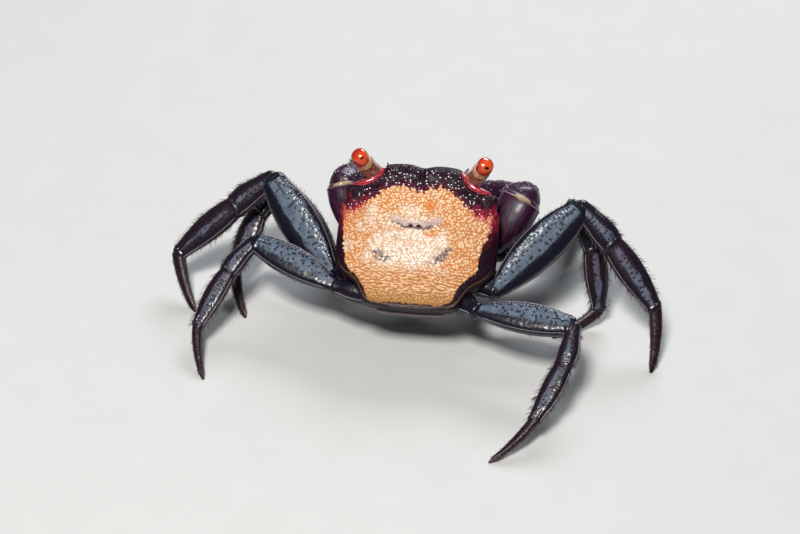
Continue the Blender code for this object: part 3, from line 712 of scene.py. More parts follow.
# Deep orange spots: share, across, forward, half width, half length
ORANGE_SPOTS = ((1.0, 1.4, 4.1, 0.85, 0.75), (0.7, 1.7, 0.15, 1.0, 0.4), (0.5, -2.3, 0.45, 1.2, 0.22))


def layered(first, *layers):
    """Colour after each (mask, colour) layer: colour += mask * (layer - colour)."""
    colour = np.array(first) + np.zeros((*np.shape(layers[0][0]), 3))
    for mask, layer in layers:
        colour = colour + mask[..., None] * (np.array(layer) - colour)
    return colour


def spot(x, y, across, forward, half_x, half_y):
    """A ragged-edged oval spot: 1 inside, 0 outside."""
    reach = np.hypot((x - across) / half_x, (y - forward) / half_y)
    return 1 - smooth_step(reach + 0.5 * (soft_noise(x, y, 0.45, 21) - 0.5), 0.7, 1.15)


def chalk_share(x, y):
    """How chalky the back is: a broad cross band, a fleck before it, paler to the left."""
    cloud = soft_noise(x, y, 1.3, 5) + 0.5 * soft_noise(x, y, 0.5, 6) - 0.75
    zone = sum(share * mound(x, y, *place) for share, *place in CHALK_PLACES)
    return smooth_step(zone + 0.5 * cloud, 0.15, 0.75)


def smudge_share(x, y):
    """Grey streaks behind the middle on both sides, slanting up and outwards."""
    zone = sum(mound(x, y - slant * (x - place[0]), *place) for slant, *place in SMUDGES)
    streak = soft_noise(x * 0.6 - y, y * 1.6 + x, 0.35, 7)
    return smooth_step(zone * (0.25 + 1.1 * streak), 0.26, 0.60)


print("chalk at the middle:", round(float(chalk_share(*MIDDLE)[0]), 2))

# %% [markdown]
# ## Ground and beads
# The ground between the beads and the beads themselves get different
# colours from the same masks. The two front corners are crimson in streaks,
# the band in front and the sides are nearly black, and a thin gold line runs
# inside the rear rim.

# %% Ground and bead colours
PATCH_EDGE = 0.02


def common_masks(x, y):
    """Masks that both the ground and the beads use."""
    depth = ragged_depth(x, y)
    share, _ = edge_at(x, y)
    corner = smooth_step(abs(x), 5.6, 7.4) * smooth_step(y, 1.2, 2.6)
    furrow_gap = y - furrow_line(x) + 0.35 * (soft_noise(x, y, 0.35, 25) - 0.5)
    reach = furrow_share(x)
    return {
        "depth": depth, "share": share, "corner": corner, "chalk": chalk_share(x, y),
        "inside": smooth_step(depth, -0.03, 0.08),
        "fringe": smooth_step(depth, -1.0 - 0.5 * corner, -0.02) * smooth_step(y, -1.5, 1.0),
        "blush": corner * (1 - smooth_step(depth, 0.0, 1.0)),
        "furrow": smooth_step(hill(furrow_gap - 0.05, 0.75) * reach, 0.3, 0.8),
        "furrow_floor_shade": smooth_step(hill(furrow_gap + 0.4, 0.2) * reach, 0.3, 0.9),
        "furrow_shade": smooth_step(-furrow_gap, -0.35, 0.45) * (0.25 + 0.3 * smooth_step(x, 0.3, 2.2)),
        "rear": smooth_step(-y, 3.6, 5.2), "last": smooth_step(-y, 6.6, 8.2),
        "smudge": smudge_share(x, y), "pits": smooth_step(pit_share(x, y), 0.2, 0.5),
        "clouds": smooth_step(soft_noise(x, y, 1.5, 13), 0.35, 0.7),
        "flecks": smooth_step(soft_noise(x, y, 0.7, 14), 0.62, 0.78),
        "orange": np.clip(sum(part * spot(x, y, *place) for part, *place in ORANGE_SPOTS), 0, 1),
        "rim": 0.45 * hill(share - 0.964, 0.006) * smooth_step(-y, 2.5, 5.0),
    }


def ground_colour(x, y):
    """Colour of the shell between the beads."""
    mask = common_masks(x, y)
    chevron = hill((abs(x + 0.3) - 1.5) * 0.8 - (y + 1.2), 0.16) * hill(x + 0.3, 2.2) * (y < -0.4)
    inner = layered(
        ORANGE, (mask["clouds"] * 0.6, DEEP_ORANGE), (mask["rear"] * 0.5, OCHRE), (mask["last"], OCHRE),
        (mask["chalk"], CRACK), (mask["orange"], DEEP_ORANGE), (chevron * 0.6, OCHRE),
        (mask["smudge"], GREY_VIOLET), (mask["furrow"], LILAC),
        # Painted shade: the furrow's own lilac darkens to grey-violet along its lower edge and in its floor.
        (mask["furrow"] * mask["furrow_shade"], GREY_VIOLET), (mask["furrow_floor_shade"] * 0.85, GREY_VIOLET),
        # Painted shade in the two pits.
        (mask["pits"], SHELL_PIT_SHADE), (mask["blush"] * 0.85, CRIMSON),
    )
    streaks = smooth_step(soft_noise(x + y * 0.4, y * 0.35 - x * 0.1, 0.28, 15), 0.35, 0.7)
    fringe = layered(MAROON, (mask["corner"] * streaks, CRIMSON))
    return layered(BLACK_PURPLE, (mask["fringe"], fringe), (mask["inside"], inner), (mask["rim"], RIM_GOLD))


def bead_colour(x, y, draw):
    """Colour of a bead's crown; draw is a chance value from 0 to 1 for each bead."""
    mask = common_masks(x, y)
    pale = layered(
        PEACH, (0.35 + 0.65 * draw, CREAM), (mask["chalk"], CHALK), (mask["rear"] * 0.5, PEACH),
        (mask["last"] * 0.8, RUST), (mask["orange"] * 0.9, DEEP_ORANGE), (mask["flecks"] * 0.5, ORANGE),
        (mask["smudge"] * 0.8, GREY_VIOLET), (mask["furrow"] * 0.85, LILAC), (mask["blush"], BLUSH),
    )
    # White crowns on chosen dark beads: partly white granules, partly painted glints of light.
    speck = draw > 1 - 0.32 * smooth_step(y, 0.5, 2.5)
    red = mask["corner"] * mask["fringe"] * (draw < 0.5)
    dark = layered(
        BLACK_PURPLE, (0.8 * smooth_step(y, 0.5, 3.0), BEAD_PURPLE), (mask["fringe"] * 0.8, MAROON),
        (speck, SPECK_WHITE_AND_GLINT), (red, BEAD_RED),
    )
    return np.where((mask["depth"] > PATCH_EDGE)[..., None], pale, dark)


sample = ground_colour(np.array([0.0, 6.5]), np.array([-8.0, -1.0]))
print("ground at the rear and the side:", np.round(sample, 2).tolist())

# %% [markdown]
# ## The shell surface
# The shell is one closed sheet: rings drawn in to the middle of the back, and
# rings that go down its side walls and in under the body. The wall is a
# profile carried round the edge; along the front it stands out as the brow
# and then falls back, where the small feelers fold away.

# %% Shell surface
# Wall rings: share of the wall's depth, scale across and along, brow reach
SHELL_WALL = np.array([
    (0.0, 0.995, 1.0, 0.0), (0.2, 1.0, 1.0, 0.3), (0.42, 0.995, 1.0, 0.25),
    (0.54, 0.98, 0.985, -0.6), (0.74, 0.95, 0.965, -0.8), (1.0, 0.87, 0.90, -0.5),
])
TOP_REACH = (0.012, 0.994)
TOP_ROWS = 112
WALL_ROWS = 30
WALL_PURPLE = (0.009, 0.003, 0.008)


def smooth_table(places, table):
    """Rows between table rows by a cubic through them, slopes from neighbours."""
    knots, values = table[:, 0], table[:, 1:]
    slopes = np.gradient(values, knots, axis=0)
    piece = np.clip(np.searchsorted(knots, places, side="right") - 1, 0, len(knots) - 2)
    width = (knots[piece + 1] - knots[piece])[:, None]
    t = (places - knots[piece])[:, None] / width
    return (
        (2 * t ** 3 - 3 * t ** 2 + 1) * values[piece]
        + (t ** 3 - 2 * t ** 2 + t) * width * slopes[piece]
        + (3 * t ** 2 - 2 * t ** 3) * values[piece + 1]
        + (t ** 3 - t ** 2) * width * slopes[piece + 1]
    )


def shell_shape():
    """Rings of the back, then of the wall, as one closed shape with its paint."""
    inward = np.linspace(*TOP_REACH, TOP_ROWS)[:, None]
    top_x, top_y = EDGE[:, 0] * inward, EDGE[:, 1] * inward
    top = np.stack((top_x, top_y, back_height(top_x, top_y)), axis=-1)
    shares = np.linspace(0.0, 1.0, WALL_ROWS)
    wall = smooth_table(shares, SHELL_WALL)[:, :, None]
    brow = np.clip((EDGE[:, 1] - 8.0) / 0.9, 0, 1)
    wall_x = EDGE[:, 0] * wall[:, 0]
    wall_y = EDGE[:, 1] * wall[:, 1] + wall[:, 2] * brow
    wall_z = EDGE[:, 2] + (SHELL_FLOOR - EDGE[:, 2]) * shares[:, None]
    rough = soft_noise(wall_x + wall_y, wall_z * 1.3, 0.5, 8) - 0.5
    wall_x = wall_x * (1 + 0.008 * rough)
    rings = np.concatenate((top, np.stack((wall_x, wall_y, wall_z), axis=-1)))
    paint = np.concatenate((
        ground_colour(top_x, top_y),
        layered(BLACK_PURPLE, (np.sqrt(shares)[:, None] + 0 * wall_x, WALL_PURPLE)),
    ))
    gloss = 1 - smooth_step(ragged_depth(rings[..., 0], rings[..., 1]), -0.3, 0.1)
    gloss[TOP_ROWS:] = 1.0
    return skin(from_body(rings), np.concatenate((paint, gloss[..., None]), axis=-1), rings)


print("shell rings:", TOP_ROWS + WALL_ROWS, "points in each:", len(EDGE))

# %% [markdown]
# ## The shell's finish
# The finish reads the paint and adds what is finer than the mesh: a grain in
# the colour and small wrinkles in the relief. The dark band is glossier than
# the patch, so its roughness follows the fourth mark.

# %% Shell finish


def shell_finish():
    """Painted colour, speckled; rough in the patch, glossy in the dark band."""
    mix = Finish("shell_orange_finish", Coat_Weight=0.06, Coat_Roughness=0.25, Specular_IOR_Level=0.15)
    paint, gloss = mix.paint()
    fine = mix.noise(0.10, 4.0)
    broad = mix.noise(0.45, 3.0)
    colour = mix.over(paint, FINE_SHADE, fine, (0.38, 0.6), (0.6, 0.0), mode="MULTIPLY")
    colour = mix.over(colour, BROAD_SHADE, broad, (0.42, 0.45), (0.6, 0.0), mode="MULTIPLY")
    wrinkle = mix.noise(0.13, 4.0)
    normal = mix.relief(wrinkle, 0.05, mix.relief(mix.cells(0.22), 0.05))
    rough = mix.blend(gloss, mix.ramp(wrinkle, (0.3, 0.42), (0.7, 0.6)), GLOSS_GREY)
    return mix.give(Base_Color=colour, Roughness=rough, Normal=normal)


shell_material = shell_finish()
shell = add_piece("shell", shell_shape(), shell_material, "shell_orange", "carapace")
print("shell faces:", len(shell.data.polygons))

# %% [markdown]
# ## Beads
# The whole back is beaded. One bead is a low dome of 32 faces, and array
# arithmetic copies it to thousands of places at once: template points times
# each bead's size, turned into its own axes, moved to its own place.

# %% Bead helper
BEAD_SIDES = 8
# Rings of a bead from below: reach, height
BEAD_RINGS = ((1.0, -0.5), (0.9, 0.28), (0.62, 0.78))
BEAD_FACES = tube_faces(len(BEAD_RINGS), BEAD_SIDES)


def bead_template():
    """Points of a unit dome: its rings, a foot point and a crown point."""
    turn = once_round(BEAD_SIDES)
    ring = np.stack((np.cos(turn), np.sin(turn), 0 * turn), axis=-1)
    rings = [ring * (reach, reach, 1) + (0, 0, height) for reach, height in BEAD_RINGS]
    return np.concatenate((*rings, [(0, 0, BEAD_RINGS[0][1]), (0, 0, 1.0)]))


def bead_field(places, across, along, outward, sizes, colours):
    """Many beads: place + template x * across + template y * along + z * outward."""
    template = bead_template()
    points = places[:, None] + sum(
        template[:, axis:axis + 1] * way[:, None] * sizes[:, None, axis:axis + 1]
        for axis, way in enumerate((across, along, outward))
    )
    marks = np.empty((len(places), len(template), 4))
    marks[..., :3] = colours[:, None]
    marks[..., 3] = np.clip(template[:, 2], 0, 1)
    return copies(points, BEAD_FACES, marks)


print("faces in one bead:", sum(len(part) for part in BEAD_FACES))

# %% [markdown]
# ## Strewing the beads over the back
# A grid shaken by chance looks more natural than pure chance, which leaves
# clumps and gaps. Beads at the sides are round. In the chalky middle they
# are broad and flat and nearly touch, so that only fine cracks are left
# between them, and behind they merge into wavy ridges across the back.

# %% Shell beads
BEAD_STEP = (0.385, 0.36)
BEAD_REACH = 10.2
BEAD_SHAKE = 0.75
BEAD_EDGE = 0.93
# Half width, half length and height of a bead
ROUND_BEAD = (0.19, 0.18, 0.105)
FLAT_BEAD = (0.27, 0.20, 0.03)
RIDGE_BEAD = (0.30, 0.125, 0.12)
LAST_BEAD = (0.13, 0.11, 0.06)
DARK_BEAD = (0.125, 0.115, 0.10)


def shaken_grid(steps, reach, shake, chance):
    """Grid of places with rows set off by half a step, each shaken by chance."""
    x, y = np.meshgrid(np.arange(-reach, reach, steps[0]), np.arange(-reach, reach, steps[1]))
    x = x + (np.arange(len(x))[:, None] % 2) * steps[0] / 2
    x = x + (chance.random(x.shape) - 0.5) * steps[0] * shake
    y = y + (chance.random(y.shape) - 0.5) * steps[1] * shake
    return x.ravel(), y.ravel()


def back_slopes(x, y, turn):
    """World directions across, along and out of the back, turned about the last."""
    nudge = 0.02
    rise_x = (back_height(x + nudge, y) - back_height(x - nudge, y)) / (2 * nudge)
    rise_y = (back_height(x, y + nudge) - back_height(x, y - nudge)) / (2 * nudge)
    flat = np.zeros_like(x)
    across = unit(np.stack((flat + 1, flat, rise_x), axis=-1) @ AXES)
    along = unit(np.stack((flat, flat + 1, rise_y), axis=-1) @ AXES)
    c, s = np.cos(turn)[:, None], np.sin(turn)[:, None]
    return across * c + along * s, along * c - across * s, unit(np.cross(across, along))


def bead_sizes(mask, draw):
    """Half width, half length and height of each bead."""
    kinds = (("chalk", FLAT_BEAD), ("rear", RIDGE_BEAD), ("last", LAST_BEAD))
    pale = layered(ROUND_BEAD, *((mask[name], size) for name, size in kinds))
    sizes = np.where((mask["depth"] > PATCH_EDGE)[:, None], pale, DARK_BEAD)
    shrink = 1 - 0.5 * smooth_step(mask["share"], 0.88, BEAD_EDGE)
    return sizes * ((0.72 + 0.56 * draw) * shrink)[:, None]


def shell_beads():
    """Beads of the patch, and beads of the dark band around it."""
    chance = np.random.default_rng(11)
    x, y = shaken_grid(BEAD_STEP, BEAD_REACH, BEAD_SHAKE, chance)
    y = y + 0.35 * (soft_noise(x, y, 1.5, 16) - 0.5)
    mask = common_masks(x, y)
    bare = (mask["furrow"] >= 0.6) & (mask["furrow_shade"] >= 0.04) | (mask["pits"] >= 0.3)
    keep = (mask["share"] < BEAD_EDGE + 0.04 * (y > 5.5)) & ~bare
    x, y = x[keep], y[keep]
    mask = {name: values[keep] for name, values in mask.items()}
    draw = chance.random((len(x), 3))
    wander = (soft_noise(x, y, 1.1, 17) - 0.5) * 3.0
    turn = np.where(mask["rear"] > 0.5, 0.25 * wander, mask["chalk"] * wander)
    places = from_body(np.stack((x, y, back_height(x, y)), axis=-1))
    parts = (places, *back_slopes(x, y, turn), bead_sizes(mask, draw[:, 0]), bead_colour(x, y, draw[:, 2]))
    pale = mask["depth"] > PATCH_EDGE
    return {
        name: bead_field(*(part[chosen] for part in parts))
        for name, chosen in (("cream", pale), ("dark", ~pale))
    }


print("bead spacing:", BEAD_STEP, "mm")

# %% [markdown]
# ## The beads' finishes
# Every bead carries the colour of its crown. The fourth mark is 1 on the
# crown and 0 at the foot, so a cream bead can let the orange through below,
# and a dark bead can be pale only at its very top, which reads as a white
# speck from a step away: partly a white granule, partly a painted glint.

# %% Bead finishes


def cream_bead_finish():
    """The bead's own colour on its crown, deeper and warmer at its foot."""
    mix = Finish("cream_bead_finish", Coat_Weight=0.3, Coat_Roughness=0.2, Roughness=0.4)
    crown, tip = mix.paint()
    foot = mix.blend(0.7, crown, FOOT_SHADE, "MULTIPLY")
    colour = mix.over(foot, crown, tip, (0.15, 0.0), (0.8, 1.0))
    return mix.give(Base_Color=colour, Normal=mix.relief(mix.noise(0.06), 0.012))


def dark_bead_finish():
    """Black beads; the chosen ones have a white crown, partly own colour and partly a painted glint."""
    mix = Finish("dark_bead_finish", Coat_Weight=0.0, Roughness=0.32, Specular_IOR_Level=0.16)
    crown, tip = mix.paint()
    colour = mix.over(BLACK_PURPLE, crown, tip, (0.5, 0.0), (0.8, 1.0))
    return mix.give(Base_Color=colour, Normal=mix.relief(mix.noise(0.06), 0.012))


dark_bead_material = dark_bead_finish()
fields = shell_beads()
add_piece("shell_beads_cream", fields["cream"], cream_bead_finish(), "shell_orange")
add_piece("shell_beads_dark", fields["dark"], dark_bead_material, "shell_dark")
print("beads:", {name: len(field["points"]) // len(bead_template()) for name, field in fields.items()})

# %% [markdown]
# ## Limbs
# Legs, claws and eyestalks are all the same idea: a section carried along a
# straight axis. The section is a superellipse, |x/a|^p + |z/b|^p = 1, whose
# half width a and half depth b come from a short table. Both ends are closed
# by a dome. Relief is then pushed along the surface's own normals.

# %% Limb surface


def limb_axes(start, end, face):
    """Rows: along the limb, across it in the leg's plane, and out of that plane."""
    along = unit(end - start)
    across = unit(np.cross(along, face))
    return np.array([along, across, np.cross(across, along)])


def superellipse(turn, power):
    """Points of |x|^p + |z|^p = 1 at the given turns."""
    return [np.sign(wave) * abs(wave) ** (2 / power) for wave in (np.cos(turn), np.sin(turn))]


def domed(sizes, reach, lean, bulges):
    """Sizes and places along a limb, with a quarter-turn dome added at each end."""
    first, last = sizes[0] * np.cos(lean)[:, None], sizes[-1] * np.cos(lean[::-1])[:, None]
    start = reach[0] - bulges[0] * np.sin(lean)
    end = reach[-1] + bulges[1] * np.sin(lean[::-1])
    return np.concatenate((first, sizes, last)), np.concatenate((start, reach, end))


def section_rings(start, axes, reach, x, z):
    """Rings at places along the first axis, their points given on the other two."""
    return start + reach[:, None, None] * axes[0] + x[..., None] * axes[1] + z[..., None] * axes[2]


def grid_normals(rings):
    """Normals of closed rings, from the step to the next ring and the next point."""
    lengthwise = np.gradient(rings, axis=0)
    around = np.roll(rings, -1, axis=1) - np.roll(rings, 1, axis=1)
    normals = np.cross(around, lengthwise)
    size = np.linalg.norm(normals, axis=-1, keepdims=True)
    normals = normals / np.maximum(size, 1e-9)
    middle = rings.mean(axis=1, keepdims=True)
    return normals * np.sign(np.sum(normals * (rings - middle)) or 1.0)


def arc_length(x, z):
    """Length round each ring, counted from the middle of the face it is on."""
    steps = np.hypot(x - np.roll(x, 1, axis=1), z - np.roll(z, 1, axis=1))
    arc = np.cumsum(steps, axis=1)
    cols = x.shape[1]
    middles = np.where(np.arange(cols) < cols // 2, cols // 4, cols * 3 // 4)
    return arc - arc[:, middles] + 20.0 * (middles > cols // 2)


def limb_grid(start, end, face, table, rows, cols, bow=0.0, power=2.5, domes=(0.8, 0.8)):
    """Rings of a limb and the numbers that its patterns follow.

    Table rows are (share of the length, half width, half depth). A dome is a
    quarter turn: half sizes times cos(a), reach along times sin(a).
    """
    table = np.array(table)
    axes = limb_axes(start, end, face)
    length = np.linalg.norm(end - start)
    shares = np.linspace(table[0, 0], table[-1, 0], rows)
    sizes = np.maximum(smooth_table(shares, table), 0.02)
    lean = np.linspace(1.48, 0.0, rows // 7, endpoint=False)
    sizes, reach = domed(sizes, shares * length, lean, (sizes[0, 0] * domes[0], sizes[-1, 0] * domes[1]))
    turn = once_round(cols, 0.5)
    x, z = superellipse(turn, power)
    x, z = x * sizes[:, :1], z * sizes[:, 1:]
    share = np.clip(reach / length, 0, 1)[:, None] + 0 * x
    x = x + bow * 4 * share * (1 - share)
    return {
        "rings": section_rings(start, axes, reach, x, z), "axes": axes, "turn": turn + 0 * x, "share": share,
        "along": reach[:, None] + 0 * x, "around": arc_length(x, z), "sizes": sizes, "length": length,
    }


def limb_shape(grid, relief, marks, layer, extra=0.0):
    """Closed shape of a limb with relief in millimetres along its normals.

    A single mark is followed by two empty ones and the share of the length.
    The lie is the place along, shifted for each layer, the place around, and
    one extra value.
    """
    rings = grid["rings"] + grid_normals(grid["rings"]) * relief[..., None]
    lie = np.stack((grid["along"] + 7.3 * layer, grid["around"], relief * 0 + extra), axis=-1)
    if len(marks) == 1:
        marks = (*marks, 0 * relief, 0 * relief, grid["share"])
    return skin(rings, np.stack(marks, axis=-1), lie)


# %% [markdown]
# ## Bristles
# Crab legs carry short stiff hairs in rows. Each is a thin three-sided spike
# with a bend in it, only nine faces, and one leg has a few hundred, so they
# are built together as arrays. None may reach out of the frame's box, so
# those that would are left off.

# %% Bristle helper
BRISTLE_BEND = 0.35
BRISTLE_LEAN = 0.8
BRISTLE_THICKNESS = 0.024
BRISTLE_SIDES = 3
# Marks of the root ring, the middle ring, the root and the tip
BRISTLE_SHARES = (0,) * BRISTLE_SIDES + (0.5,) * BRISTLE_SIDES + (0, 1)


def bristle_shape(roots, directions, bends, lengths, thickness):
    """Spikes: a root ring, a middle ring moved along the bend, and a tip."""
    lengths = lengths[:, None]
    tips = roots + directions * lengths + bends * lengths * BRISTLE_BEND
    low, high = np.array(CAD_BOX)
    inside = np.all((tips > low) & (tips < high), axis=1)
    roots, directions, tips = roots[inside], directions[inside], tips[inside]
    middles = (roots + tips) / 2 + directions * lengths[inside] * 0.06
    side = unit(np.cross(directions, (0.31, 0.52, 0.79)))
    ring = circle(once_round(BRISTLE_SIDES), side, np.cross(directions, side)) * thickness
    sunk = (roots - directions * 0.08)[:, None]
    points = np.concatenate((sunk + ring, middles[:, None] + ring * 0.7, sunk, tips[:, None]), axis=1)
    marks = np.zeros((*points.shape[:2], 4))
    marks[..., 3] = BRISTLE_SHARES
    return copies(points, tube_faces(2, BRISTLE_SIDES), marks)


def grid_bristles(grid, chance, count, turns, shares, length):
    """Bristles on a limb grid: in rows at the given turns, leaning to its end."""
    rings, axis = grid["rings"], grid["axes"][0]
    rows = np.argsort(abs(grid["share"][:, 0] - chance.uniform(*shares, count)[:, None]), axis=1)
    row = rows[np.arange(count), chance.integers(0, 2, count)]
    turn = chance.choice(turns, count) + chance.normal(0, 0.12, count)
    column = np.round(turn / (2 * math.pi) * rings.shape[1]).astype(int) % rings.shape[1]
    normals = grid_normals(rings)[row, column]
    directions = unit(normals + axis * BRISTLE_LEAN + chance.normal(0, 0.15, (count, 3)))
    bends = unit(axis + chance.normal(0, 0.25, (count, 3)))
    lengths = chance.uniform(*length, count)
    return bristle_shape(rings[row, column], directions, bends, lengths, BRISTLE_THICKNESS)


# %% [markdown]
# ## A leg's joints
# Each leg has five pieces. Their joints lie in one plane, except for the
# short base, so the plane's normal comes from a singular value
# decomposition: the direction in which the joints spread the least.

# %% Leg joints
PAIRS = ("first", "second", "third", "fourth")
SIDES = {"right": 1.0, "left": -1.0}
PIECES = ("base", "merus", "carpus", "propodus", "dactylus")


def leg_joints(pair, side):
    """Hip, the four joints and the foot of a leg, and its plane's upper normal."""
    nodes = [f"leg_{pair}_{side}_{piece}" for piece in PIECES]
    inner = [joint(first, second) for first, second in zip(nodes, nodes[1:])]
    hip = far_point(nodes[0], inner[0])
    foot = far_point(nodes[-1], inner[-1])
    chain = np.array(inner + [foot])
    _, _, spread = np.linalg.svd(chain - chain.mean(axis=0))
    normal = spread[2]
    return np.array([hip, *inner, foot]), normal * np.sign(normal[2])


LEGS = {(pair, side): leg_joints(pair, side) for pair in PAIRS for side in SIDES}
merus_length = np.linalg.norm(np.diff(LEGS["third", "right"][0][1:3], axis=0))
print("merus of the third leg:", round(float(merus_length), 2), "mm")

# %% [markdown]
# ## The relief of a leg
# On each broad face of a leg lies a blue-grey zone, partly the leg's own
# colour and partly a painted reflection of the lamp. Above it, past a dark
# groove, runs a pair of upper keels, and below it the horn is smooth and
# almost black down to two lower keels. Round pits are strewn over the zone,
# and short ribs cross its upper margin. What is relief here is also kept as
# a mark, so that the finish can colour it; pits and ribs get painted shade.

# %% Leg relief
UPPER_KEELS = (0.36, 5.92)
LOWER_KEELS = (2.58, 3.70)
RIB_PITCH = 0.38
PIT_PITCH = 0.66
SMALL_PIT_PITCH = 0.36
# Depths of the relief, in millimetres
LOW_KEEL_RISE = 0.05
PIT_DEPTH = 0.06
RIB_DEPTH = 0.04
GROOVE_DEPTH = 0.03
CREASE_DEPTH = 0.06
GRAIN_DEPTH = 0.02


def turn_gap(turn, place):
    """Smallest angle between two turns."""
    return abs((turn - place + math.pi) % (2 * math.pi) - math.pi)


def leg_fields(grid, dorsal, power):
    """Turn from the upper keels, and height on the face: 1 at the keels, -1 below."""
    upright = grid["turn"] if dorsal > 0 else math.pi - grid["turn"]
    return upright, superellipse(upright, power)[0]


def blue_sheen_zone_field(grid, height, strength, limits):
    """0.5 on the edge of the blue zone with its painted reflection, rising by 1 for each 2 mm inwards."""
    top, foot = limits
    half = grid["sizes"][:, :1]
    from_ends = np.minimum(grid["along"] - 0.25, grid["length"] * 0.97 - grid["along"])
    across = np.minimum(top - height, height - foot) * half
    cloud = soft_noise(grid["along"], grid["around"], 1.3, 19) - 0.5
    depth = np.minimum(across, from_ends * 0.8) + 0.35 * cloud - (1 - strength) * 0.75
    return np.clip(0.5 + depth / 2, 0, 1)


def leg_relief(grid, dorsal, layer, power, strength, limits, stripes, keel_rise):
    """Relief in millimetres, and the marks: blue zone with its painted reflection, pits and ribs for painted
    shade, keels.
    """
    upright, height = leg_fields(grid, dorsal, power)
    share, along, around = grid["share"], grid["along"], grid["around"]
    half = grid["sizes"][:, :1]

    def cloud(size, number):
        """Soft noise that follows the piece."""
        return soft_noise(along, around, size, number)

    def keels(places, width):
        """Ridges at the given turns."""
        return sum(hill(turn_gap(upright, place) * half, width) for place in places)

    ends = smooth_step(share, 0.02, 0.12) * (1 - smooth_step(share, 0.93, 1.0))
    top_keel, low_keels = keels(UPPER_KEELS, 0.11), keels(LOWER_KEELS, 0.10)
    # The zone marks where the blue-grey and its painted reflection go.
    zone = blue_sheen_zone_field(grid, height, strength, limits)
    on_blue_sheen = smooth_step(zone, 0.42, 0.6)
    dots = hill(dot_distance(along, around, PIT_PITCH, layer, 0.9), 0.18)
    small = hill(dot_distance(along, around, SMALL_PIT_PITCH, layer + 5), 0.06) * 0.6
    pit = np.maximum(dots, small) * (0.25 + 0.75 * on_blue_sheen) * ends
    wave = 0.5 + 0.5 * np.sin((along + 0.5 * cloud(0.8, layer + 9)) * 2 * math.pi / RIB_PITCH)
    margin = smooth_step(height + 0.3 * (cloud(0.7, 23) - 0.5), 0.45, 0.62)
    margin = margin * (1 - smooth_step(height, 0.93, 0.99))
    rib = smooth_step(wave, 0.5, 0.8) * np.clip(margin + stripes * on_blue_sheen, 0, 1) * ends
    rib = rib * smooth_step(cloud(0.6, layer + 13), 0.2, 0.5)
    groove = hill(height - 0.88, 0.05) * ends
    crease = hill((height - 0.25) * half, 0.12) * smooth_step(share, 0.74, 0.84) * ends
    relief = (
        (keel_rise * top_keel + LOW_KEEL_RISE * low_keels) * ends - PIT_DEPTH * pit - RIB_DEPTH * rib
        - GROOVE_DEPTH * groove - CREASE_DEPTH * crease + GRAIN_DEPTH * (cloud(0.5, layer + 11) - 0.5)
    )
    return relief, (zone, pit, np.maximum(rib, crease), np.clip(top_keel + low_keels, 0, 1) * ends)


print("leg ribs every", RIB_PITCH, "mm, pits every", PIT_PITCH, "mm")

# %% [markdown]
# ## The finish of the legs
# The blue zone is the legs' own blue-grey with a painted reflection of the
# lamp in it. It is a ramp over the zone's mark with fine noise added, so its
# edge is crisp and ragged however close one looks; pits, ribs and creases
# are darkened in it with painted shade. The horn below it is almost black
# under a clear coat that carries the reflection of the lamp. How brown a
# piece is comes with the third value of its lie.

# %% Leg finish
INDIGO = (0.004, 0.004, 0.012)
BROWN_PURPLE = (0.018, 0.006, 0.012)
# Blue-grey of the legs' zone: partly their own colour, partly a painted reflection of the lamp.
BLUE_GREY_AND_SHEEN = (0.120, 0.162, 0.220)
SLATE_AND_SHEEN = (0.045, 0.062, 0.105)
KEEL_PALE = (0.42, 0.34, 0.40)
BROWN_ZONE = (0.085, 0.055, 0.085)
# Painted shade for the legs' ribs and creases, and for their pits.
CREASE_SHADE = (0.006, 0.004, 0.010)
LEG_PIT_SHADE = (0.006, 0.005, 0.012)
ZONE_GREY = (0.46, 0.46, 0.46)
FOOT_ZONE = (0.070, 0.035, 0.040)
FOOT_ZONE_DARK = (0.035, 0.014, 0.018)
FOOT_HORN = (0.022, 0.009, 0.013)
FOOT_KEEL = (0.10, 0.055, 0.05)


def horn_finish(name, blue_sheen_colour, blue_sheen_dark, deep, keel_colour, gloss, coat_roughness, shine):
    """Blue-grey zone with a painted reflection on dark horn, pale keels, pits and ribs darkened with painted
    shade, clear coat.
    """
    mix = Finish(name, Coat_Weight=gloss, Coat_Roughness=coat_roughness, Specular_IOR_Level=shine)
    zone, pit, dark, keel = mix.marks()
    lie = mix.lie()
    brown = mix.node("ShaderNodeSeparateXYZ", {"Vector": lie}).outputs["Z"]
    fine = mix.noise(0.16, 4.0, lie)
    clouds = mix.noise(0.9, 4.0, mix.lie((0.7, 1.0, 1.0)))
    frayed = mix.maths("ADD", zone, mix.maths("MULTIPLY", mix.maths("SUBTRACT", fine, 0.5), 0.42))
    edge = mix.ramp(frayed, (0.46, 0.0), (0.56, 1.0))
    horn = mix.over(deep, BROWN_PURPLE, brown, (0.0, 0.0), (1.0, 1.0))
    # The zone's colour: partly the leg's own blue-grey, partly a painted reflection of the lamp.
    lit = mix.over(blue_sheen_colour, blue_sheen_dark, clouds, (0.36, 0.8), (0.62, 0.0))
    lit = mix.over(lit, blue_sheen_dark, fine, (0.34, 0.55), (0.5, 0.0))
    lit = mix.over(lit, BROWN_ZONE, brown, (0.0, 0.0), (1.0, 0.75))
    colour = mix.blend(edge, horn, lit)
    # Painted shade: ribs and creases, then pits, are darkened.
    colour = mix.over(colour, CREASE_SHADE, dark, (0.3, 0.0), (0.65, 0.9))
    colour = mix.over(colour, LEG_PIT_SHADE, pit, (0.3, 0.0), (0.55, 1.0))
    colour = mix.over(colour, keel_colour, keel, (0.45, 0.0), (0.85, 0.85))
    rough = mix.blend(edge, mix.ramp(fine, (0.35, 0.24), (0.7, 0.38)), ZONE_GREY)
    normal = mix.relief(fine, 0.022, mix.relief(mix.cells(0.2, mix.lie((1.6, 0.7, 1.0))), 0.012))
    return mix.give(Base_Color=colour, Roughness=rough, Normal=normal)


